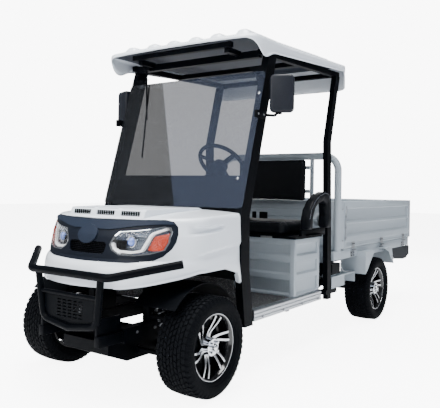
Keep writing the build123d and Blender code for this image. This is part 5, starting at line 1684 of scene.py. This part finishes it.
def make_header():
    """The bed's front: a tube hoop round a pressed panel, with the backrest's bars."""
    hoop = symmetric(((HOOP_X, HOOP_AT, HOOP_TOP), (HOOP_X, HOOP_AT, 0.6605)))
    parts = [pipe("hoop", hoop, 0.0298, 0.125, resolution=8, steps=12)]
    parts.append(brick(0, 0.56, (1.8165, 1.8435), (0.6845, BED_TOP - 0.0005), 0.003))
    for line in (1.03, 0.93, 0.8):
        rib = ((1.8195, -0.092), (1.8085, -0.082), (1.8085, -0.02), (1.8195, -0.01))
        points = [(-0.54, at(y), line + z) for y, z in rib]
        parts.append(prism("rib", points, (1.08, 0, 0), 0.003, 2))
    for side in (-1, 1):
        parts.append(brick(side * 0.345, 0.0128, (1.8085, 1.8395), (BED_TOP - 0.004, HOOP_TOP), 0.003))
        for z in (1.1505, 1.3505):
            parts.append(brick(side * 0.33, 0.0195, (1.7685, 1.828), (z, z + 0.029), 0.003))
        parts.append(brick(side * 0.592, 0.0135, (1.8405, 1.9135), (0.6905, BED_TOP - 0.0005), 0.004))
        for z in (0.76, 1.02):
            parts.append(bolt((side * 0.6054, at(1.878), z), (side, 0, 0), 0.008, 0.004))
    return join(dress_bare(parts, "powder_coated_steel_grey"), "bed_header_frame")


FLOOR_EDGE_X, FLOOR_TOP, FLOOR_VALLEY, FLOOR_UNDER = 0.574, 0.688, 0.68, 0.676
WAVE_PITCH, WAVE_COUNT = 0.05, 23
RAIL_X, RAIL_HEIGHTS, STRIP_HEIGHTS = (0.5525, 0.5995), (0.6055, 0.6755), (0.675, 0.6866)
BEARERS, BEARER_W = (1.74, 2.32, 2.99, 3.61), 0.0395


def make_floor():
    """The bed's corrugated floor on its rails and cross bearers."""
    wave = []
    for ridge in range(WAVE_COUNT):
        x = ridge * WAVE_PITCH - FLOOR_EDGE_X
        wave += [(x + 0.001, FLOOR_TOP), (x + 0.032, FLOOR_TOP), (x + 0.038, FLOOR_VALLEY),
                 (x + 0.0445, FLOOR_VALLEY)]
    outline = [(x, z) for x, z in wave if x < FLOOR_EDGE_X]
    outline += [(FLOOR_EDGE_X, FLOOR_VALLEY), (FLOOR_EDGE_X, FLOOR_UNDER), (-FLOOR_EDGE_X, FLOOR_UNDER)]
    length = BED_REAR - BED_FRONT - 0.001
    sheet = prism("sheet", [(x, at(BED_FRONT + 0.0005), z) for x, z in outline], (0, length, 0))
    parts = [soften(sheet, 0.0015, 1, 20), brick(0, 0.5395, (1.8005, 1.9195), (0.6605, 0.6835), 0.002)]
    for side in (-1, 1):
        rail = [(side * x, z) for x, z in zip(RAIL_X + RAIL_X[::-1],
                                              (RAIL_HEIGHTS[0],) * 2 + (RAIL_HEIGHTS[1],) * 2)]
        parts.append(prism("rail", [(x, at(1.7305), z) for x, z in rail], (0, 1.927, 0), 0.004, 2))
    # strips that close the slots under the drop sides and the tailgate
    for side in (-1, 1):
        parts.append(brick(side * 0.58575, 0.01325, (BED_FRONT + 0.002, BED_REAR), STRIP_HEIGHTS, 0.001, 1))
    parts.append(brick(0, 0.595, (BED_REAR - 0.01, BED_REAR + 0.028), STRIP_HEIGHTS, 0.001, 1))
    for station in BEARERS:
        across = (station + 0.0005, station + BEARER_W)
        parts.append(brick(0, 0.5545, across, (0.6065, 0.6765), 0.003))
        parts.append(brick(0, 0.5395, across, (0.5815, 0.6075), 0.003))
    dress_bare(parts, "powder_coated_steel_grey")
    for side in (-1, 1):
        for station in HINGES:
            leaf = brick(side * 0.6014, 0.0021, (station - 0.04, station + 0.04), (0.61, 0.66), 0.0012, 1)
            parts.append(dress(leaf, "zinc_plated_steel"))
            for z in (0.622, 0.646):
                for y in (-0.028, 0.028):
                    parts.append(bolt((side * 0.6034, at(station + y), z), (side, 0, 0), 0.0055, 0.003,
                                      "gloss_black_paint"))
    return join(parts, "bed_floor_pressing")


# ------------ running gear and small fittings
def bolt_on(node_name, start, toward):
    """A list of the bolt where a line from start meets a CAD node, or of none."""
    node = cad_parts[node_name]
    back = node.matrix_world.inverted()
    hit, where, normal, _ = node.ray_cast(back @ Vector(start), (back.to_3x3() @ Vector(toward)).normalized())
    if not hit:
        return []
    return [bolt(node.matrix_world @ where, node.matrix_world.to_3x3() @ normal, 0.009, 0.005)]


KINGPIN_X, ARM_W, ARM_T = 0.472, 0.0255, 0.0295
# inner x, front and rear station, inner and outer height of each wishbone
WISHBONES = ((0.196, -0.11, 0.076, 0.222, 0.184), (0.24, -0.08, 0.08, 0.42, 0.406))
DAMPER_FOOT, DAMPER_TOP = Vector((0.392, at(-0.03), 0.196)), Vector((0.236, at(-0.03), 0.566))
# from, to as shares of the damper's length, radius: rod, body and the spring's two plates
DAMPER = ((0.0, 1.0, 0.0125), (0.08, 0.5, 0.0205), (0.262, 0.285, 0.035), (0.745, 0.768, 0.035))
SPRING_SHARES, SPRING_R, SPRING_TURNS, SPRING_WIRE_R = (0.285, 0.745), 0.0295, 6, 0.0052


def make_suspension():
    """The left front corner: two wishbones, their pivots, and a coil-over shock."""
    parts = []
    for inner_x, front, rear, foot, ball in WISHBONES:
        for end in (front, rear):
            parts.append(beam("arm", (inner_x, at(end), foot), (KINGPIN_X, at(0), ball), ARM_W, ARM_T, Z_AXIS,
                              0.005))
        parts.append(drum("ball", (KINGPIN_X, at(0), ball), Z_AXIS, 0.0235, 0.0235, 0.004, sides=32))
    parts.append(brick(0.23, 0.0245, (-0.0995, 0.0995), (0.3845, 0.5845), 0.004))
    for station in (-0.11, 0.07):
        parts.append(brick(0.193, 0.0075, (station - 0.0175, station + 0.0175), (0.2005, 0.2445), 0.003))
    run = DAMPER_TOP - DAMPER_FOOT
    for low, high, radius in DAMPER:
        start, end = DAMPER_FOOT + run * low, DAMPER_FOOT + run * high
        parts.append(drum("damper", (start + end) / 2, end - start, radius, (end - start).length, 0.001, sides=32))
    dress_bare(parts, "powder_coated_steel_black")
    ends = [DAMPER_FOOT + run * share for share in SPRING_SHARES]
    parts.append(dress(coil("spring", *ends, SPRING_R, SPRING_TURNS, SPRING_WIRE_R), "zinc_plated_steel"))
    parts += [bolt((0.2546, at(station), z), X_AXIS, 0.009, 0.005) for z in (0.43, 0.54)
              for station in (-0.07, 0.07)]
    return join(parts, "front_corner")


# closed (x, radius) profiles of the differential
HOUSING = (
    (-0.084, 0.04), (-0.08, 0.06), (-0.052, 0.083), (0.0, 0.0875), (0.052, 0.083), (0.08, 0.06),
    (0.084, 0.04))
HOUSING_FLANGE = ((-0.006, 0.08), (-0.006, 0.0878), (0.006, 0.0878), (0.006, 0.08))
BRAKE_X, BRAKE_FIRST_FIN, FIN_COUNT, FIN_PITCH = (0.4305, 0.4795), 0.434, 5, 0.009
MOTOR_R, MOTOR_L, MOTOR_RIBS, RIB_PITCH, MOTOR_SCREWS = 0.086, 0.258, 9, 0.0225, 6


def make_axle():
    """The rear axle: tubes, differential, finned brake drums and the ribbed motor."""
    centre = (0, REAR_AXLE_Y, WHEEL_R)
    parts = [drum("tube", centre, X_AXIS, 0.0355, 0.898, 0.003),
             drum("shaft", centre, X_AXIS, 0.0168, 1.289, 0.001, 32),
             lathe("housing", HOUSING, centre, 64), lathe("flange", HOUSING_FLANGE, centre, 64)]
    for side in (-1, 1):
        profile = [(side * BRAKE_X[0], 0.036), (side * BRAKE_X[0], 0.09)]
        for fin in range(FIN_COUNT):
            x = BRAKE_FIRST_FIN + fin * FIN_PITCH
            profile += [(side * x, 0.0945), (side * (x + 0.004), 0.0945), (side * (x + 0.005), 0.09)]
        parts.append(lathe("brake", profile + [(side * BRAKE_X[1], 0.088), (side * BRAKE_X[1], 0.036)], centre, 64))
    motor = Vector((0, REAR_AXLE_Y + 0.17, WHEEL_R + 0.02))
    parts.append(drum("motor", motor, Y_AXIS, MOTOR_R, MOTOR_L, 0.006, 64))
    for step in range(MOTOR_RIBS):
        along = (step - MOTOR_RIBS // 2) * RIB_PITCH
        parts.append(drum("rib", motor + Vector((0, along, 0)), Y_AXIS, MOTOR_R + 0.0055, 0.006, 0.001, 48))
    for corner in range(MOTOR_SCREWS):
        turn = corner * 2 * pi / MOTOR_SCREWS
        parts.append(bolt(motor + Vector((0.062 * cos(turn), MOTOR_L / 2 + 0.0001, 0.062 * sin(turn))), Y_AXIS,
                          0.007, 0.0008))
    return join(dress_bare(parts, "powder_coated_steel_black"), "rear_axle_unit")


BUCKLES = ((-0.091, -0.055), (-0.019, 0.056))
# station, height: the side view of a belt retractor's case
RETRACTOR = ((1.47, 0.948), (1.545, 0.992), (1.612, 0.972), (1.602, 0.915), (1.52, 0.896))
ROD_X, ROD_ROUTE = 0.585, ((1.918, 0.604), (1.903, 0.53), (1.957, 0.5), (2.3, 0.452))
# node: the stations and heights of the bolts on its outer face
FRAME_BOLTS = {
    "rear_posts": ((1.6, 0.345), (1.6, 0.385), (1.77, 0.6), (1.72, 0.6)),
    "front_posts": ((0.52, 0.34), (0.52, 0.385)),
    "side_sills": ((0.62, 0.347), (0.9, 0.347), (1.18, 0.347), (1.44, 0.347)),
    "rear_fenders": ((2.02, 0.56), (2.9, 0.56)),
    "chassis_frame": ((-0.2, 0.35), (-0.05, 0.35), (2.1, 0.54), (3.1, 0.54)),
}


def make_buckles():
    """The belts' buckles behind the cushion, on straps."""
    parts = []
    for low, high in BUCKLES:
        parts.append(block("buckle", (low, at(1.574), 0.868), (high, at(1.59), 0.987), 0.005, 3))
        low, high = low + 0.008, high - 0.008
        parts.append(block("strap", (low, at(1.579), 0.8442), (high, at(1.585), 0.872), 0.002))
        parts.append(block("strap", (low, at(1.48), 0.8442), (high, at(1.585), 0.8482), 0.001, 1))
    return dress(join(parts, "belt_buckles"), "moulded_black_pp")


def make_retractors():
    """The belts' retractors in the armrests' arches, each on its stalk."""
    case = side_solid("case", [(at(y), z) for y, z in RETRACTOR], (0.524, 0.56), 0.006, 3)
    stalk = pipe("stalk", [(0.542, at(1.59), 0.837), (0.542, at(1.59), 0.925)], 0.005)
    pair = [dress(case, "powder_coated_steel_grey"), dress(stalk, "zinc_plated_steel")]
    return both_sides(join(pair, "retractor"), "belt_retractors")


class CART_OT_fittings(bpy.types.Operator):
    """Suspension, axle, buckles, retractors, rods, catches and the bolts that show"""

    bl_idname = "cart.fittings"
    bl_label = "Fittings"

    def execute(self, context):
        finish(both_sides(make_suspension(), "front_suspension_units"), "black_steel", "front_suspension")
        finish(make_axle(), "black_steel", "rear_axle")
        finish(make_buckles(), "black_steel", body="seat_lid")
        finish(make_retractors(), "grey_steel")
        rods = [pipe("rod", [(side * ROD_X, at(y), z) for y, z in ROD_ROUTE], 0.0045, 0.02) for side in (-1, 1)]
        catches = [brick(x, 0.05, (1.0635, 1.0655), (0.819, 0.833), 0.0006, 1) for x in (-0.355, 0.355)]
        for parts, name in ((rods, "bed_rods"), (catches, "seat_catches")):
            finish(dress(join(parts, name), "zinc_plated_steel"), "steel")
        bolts = []
        for side in (-1, 1):
            for node, places in FRAME_BOLTS.items():
                for station, z in places:
                    bolts += bolt_on(node, (side * 1.2, at(station), z), (-side, 0, 0))
        finish(join(bolts, "frame_bolts"), "steel")
        return {"FINISHED"}


# name, place, aim, size, power share, tint
LIGHTS = (
    ("key", (-0.9, -6.4, 5.0), (0, -0.8, 0.9), 3.4, 0.72, "#FFFFFF"),
    ("fill", (5.4, -2.2, 3.0), (0, -0.3, 0.9), 3.6, 0.12, "#E6EEFF"),
    ("top", (0.5, -1.4, 6.6), (0, -0.3, 0.8), 4.2, 1.45, "#FFFFFF"),
    ("rear", (-2.5, 5.6, 3.6), (0, 0.4, 0.9), 3.0, 0.4, "#FFFFFF"))
CAMERA_AT, CAMERA_YAW, CAMERA_PITCH, CAMERA_ROLL = (2.558, at(-2.671), 1.17), 0.603, 0.0057, 0.0175
# lens and sensor in millimetres, shift as a share of the picture's width
LENS, SENSOR, SHIFT = 47.906, 36, (-6 / 440, -18 / 440)
AMBIENT, SWEEP, SWEEP_BEHIND_GLASS = 0.26, 9.0, 1.0


def make_world():
    """A soft grey light all round, and a white sweep that only the camera sees."""
    world = bpy.data.worlds.new("studio_world")
    world.use_nodes = True
    tree = world.node_tree
    light = tree.nodes["Background"]
    light.inputs["Color"].default_value = linear("#EDF1F7")
    light.inputs["Strength"].default_value = AMBIENT
    path = add_node(tree, "ShaderNodeLightPath")
    # the sweep is dimmer behind the screen's glass
    behind = add_node(tree, "ShaderNodeMapRange", Value=path.outputs["Transparent Depth"], To_Min=SWEEP,
                      To_Max=SWEEP_BEHIND_GLASS)
    sweep = add_node(tree, "ShaderNodeBackground", Color=linear("#FFFFFF"), Strength=behind.outputs[0])
    both = add_node(tree, "ShaderNodeMixShader", i0=path.outputs["Is Camera Ray"], i1=light.outputs[0],
                    i2=sweep.outputs[0])
    tree.links.new(both.outputs[0], tree.nodes["World Output"].inputs["Surface"])
    return world


def add_camera():
    """The camera, turned by its yaw, pitch and roll."""
    clear()
    bpy.ops.object.camera_add()
    camera = bpy.context.object
    camera.name = "studio_camera"
    yaw, pitch, roll = CAMERA_YAW, CAMERA_PITCH, CAMERA_ROLL
    forward = Vector((-sin(yaw) * cos(pitch), cos(yaw) * cos(pitch), sin(pitch)))
    right = Vector((cos(yaw), sin(yaw), 0))
    up = right.cross(forward)
    right, up = right * cos(roll) + up * sin(roll), up * cos(roll) - right * sin(roll)
    turned = Matrix((right, up, -forward)).transposed().to_4x4()
    camera.matrix_world = Matrix.Translation(CAMERA_AT) @ turned
    camera.data.sensor_width = SENSOR
    camera.data.lens = LENS
    camera.data.shift_x, camera.data.shift_y = SHIFT
    return camera


class CART_OT_studio(bpy.types.Operator):
    """Floor, lights and the camera"""

    bl_idname = "cart.studio"
    bl_label = "Studio"

    def execute(self, context):
        clear()
        bpy.ops.mesh.primitive_plane_add(size=60, location=(0, 0, -0.0005))
        dress(named("studio_floor"), "studio_paper")
        context.scene.world = make_world()
        for name, place, aim, size, share, tint in LIGHTS:
            clear()
            bpy.ops.object.light_add(type="AREA", location=place)
            lamp = context.object
            lamp.name = "studio_" + name
            lamp.data.size = size
            lamp.data.energy = context.scene.cart_sizes.key_power * share
            lamp.data.color = linear(tint)[:3]
            lamp.rotation_euler = (Vector(aim) - Vector(place)).to_track_quat("-Z", "Y").to_euler()
        context.scene.camera = add_camera()
        return {"FINISHED"}


# ------------ finishes of the CAD nodes
# material: the nodes that carry it
NODE_FINISHES = {
    "powder_coated_steel_black": ("chassis_frame", "front_suspension", "rear_axle", "brush_guard", "pedals",
                                  "front_posts",
                                  "rear_posts", "roof_frame", "seat_base", "seat_pan"),
    "powder_coated_steel_grey": ("seat_box", "bed_floor", "bed_header", "rear_fenders", "bed_side_left",
                                 "bed_side_right", "tailgate"),
    "moulded_black_pp": ("hood_vents", "wheel_liners", "dashboard", "steering_column", "wiper", "mirrors",
                         "steering_wheel"),
    "zinc_plated_steel": ("rear_suspension", "steering_rack", "knuckle_left", "knuckle_right"),
    "moulded_white_abs": ("front_cowl", "roof_panel"),
    "moulded_dark_abs": ("front_fascia", "rear_bumper"),
    "expanded_black_vinyl": ("seat_back", "armrests", "seat_cushion"),
    "battery_polypropylene": ("battery_pack",),
    "speckled_rubber_mat": ("floor_pan",),
    "extruded_aluminium": ("side_sills",),
    "plated_chrome": ("headlights",),
    "tinted_glass_painted_reflection": ("windshield",),
    "red_acrylic": ("tail_lamps",),
}
NODE_EDGE_R = 0.0025


class CART_OT_finishes(bpy.types.Operator):
    """Materials of the CAD nodes, with their edges rounded"""

    bl_idname = "cart.finishes"
    bl_label = "Finishes"

    def execute(self, context):
        make_materials(context.scene.cart_colours)
        for material, names in NODE_FINISHES.items():
            for name in names:
                bevel = dress(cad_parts[name], material).modifiers.new("Rounded", "BEVEL")
                bevel.width = NODE_EDGE_R
                bevel.segments = 2
                bevel.limit_method = "ANGLE"
                bevel.angle_limit = radians(40)
        for name, *_ in WHEELS:
            dress(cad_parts["tyre_" + name], "cured_tyre_rubber")
            dress(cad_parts["rim_" + name], "machined_aluminium")
        return {"FINISHED"}


OPERATORS = (CART_OT_finishes, CART_OT_wheels, CART_OT_nose, CART_OT_roof, CART_OT_guard, CART_OT_cab, CART_OT_seat,
             CART_OT_bed, CART_OT_fittings, CART_OT_studio)


class CART_PT_panel(bpy.types.Panel):
    """Lists the cart's pieces"""

    bl_idname = "CART_PT_panel"
    bl_label = "Utility cart"
    bl_space_type = "VIEW_3D"
    bl_region_type = "UI"
    bl_category = "Cart"

    def draw(self, context):
        for group in (context.scene.cart_sizes, context.scene.cart_colours):
            for name in group.__annotations__:
                self.layout.prop(group, name)
        for operator in OPERATORS:
            self.layout.operator(operator.bl_idname)


CLASSES = (CartSizes, CartColours) + OPERATORS + (CART_PT_panel,)


def register():
    for item in CLASSES:
        bpy.utils.register_class(item)
    bpy.types.Scene.cart_sizes = bpy.props.PointerProperty(type=CartSizes)
    bpy.types.Scene.cart_colours = bpy.props.PointerProperty(type=CartColours)


def unregister():
    del bpy.types.Scene.cart_colours
    del bpy.types.Scene.cart_sizes
    for item in reversed(CLASSES):
        bpy.utils.unregister_class(item)


def main():
    """Builds the whole scene, piece by piece."""
    register()
    for operator in OPERATORS:
        group, name = operator.bl_idname.split(".")
        getattr(getattr(bpy.ops, group), name)()


if __name__ == "__main__":
    main()
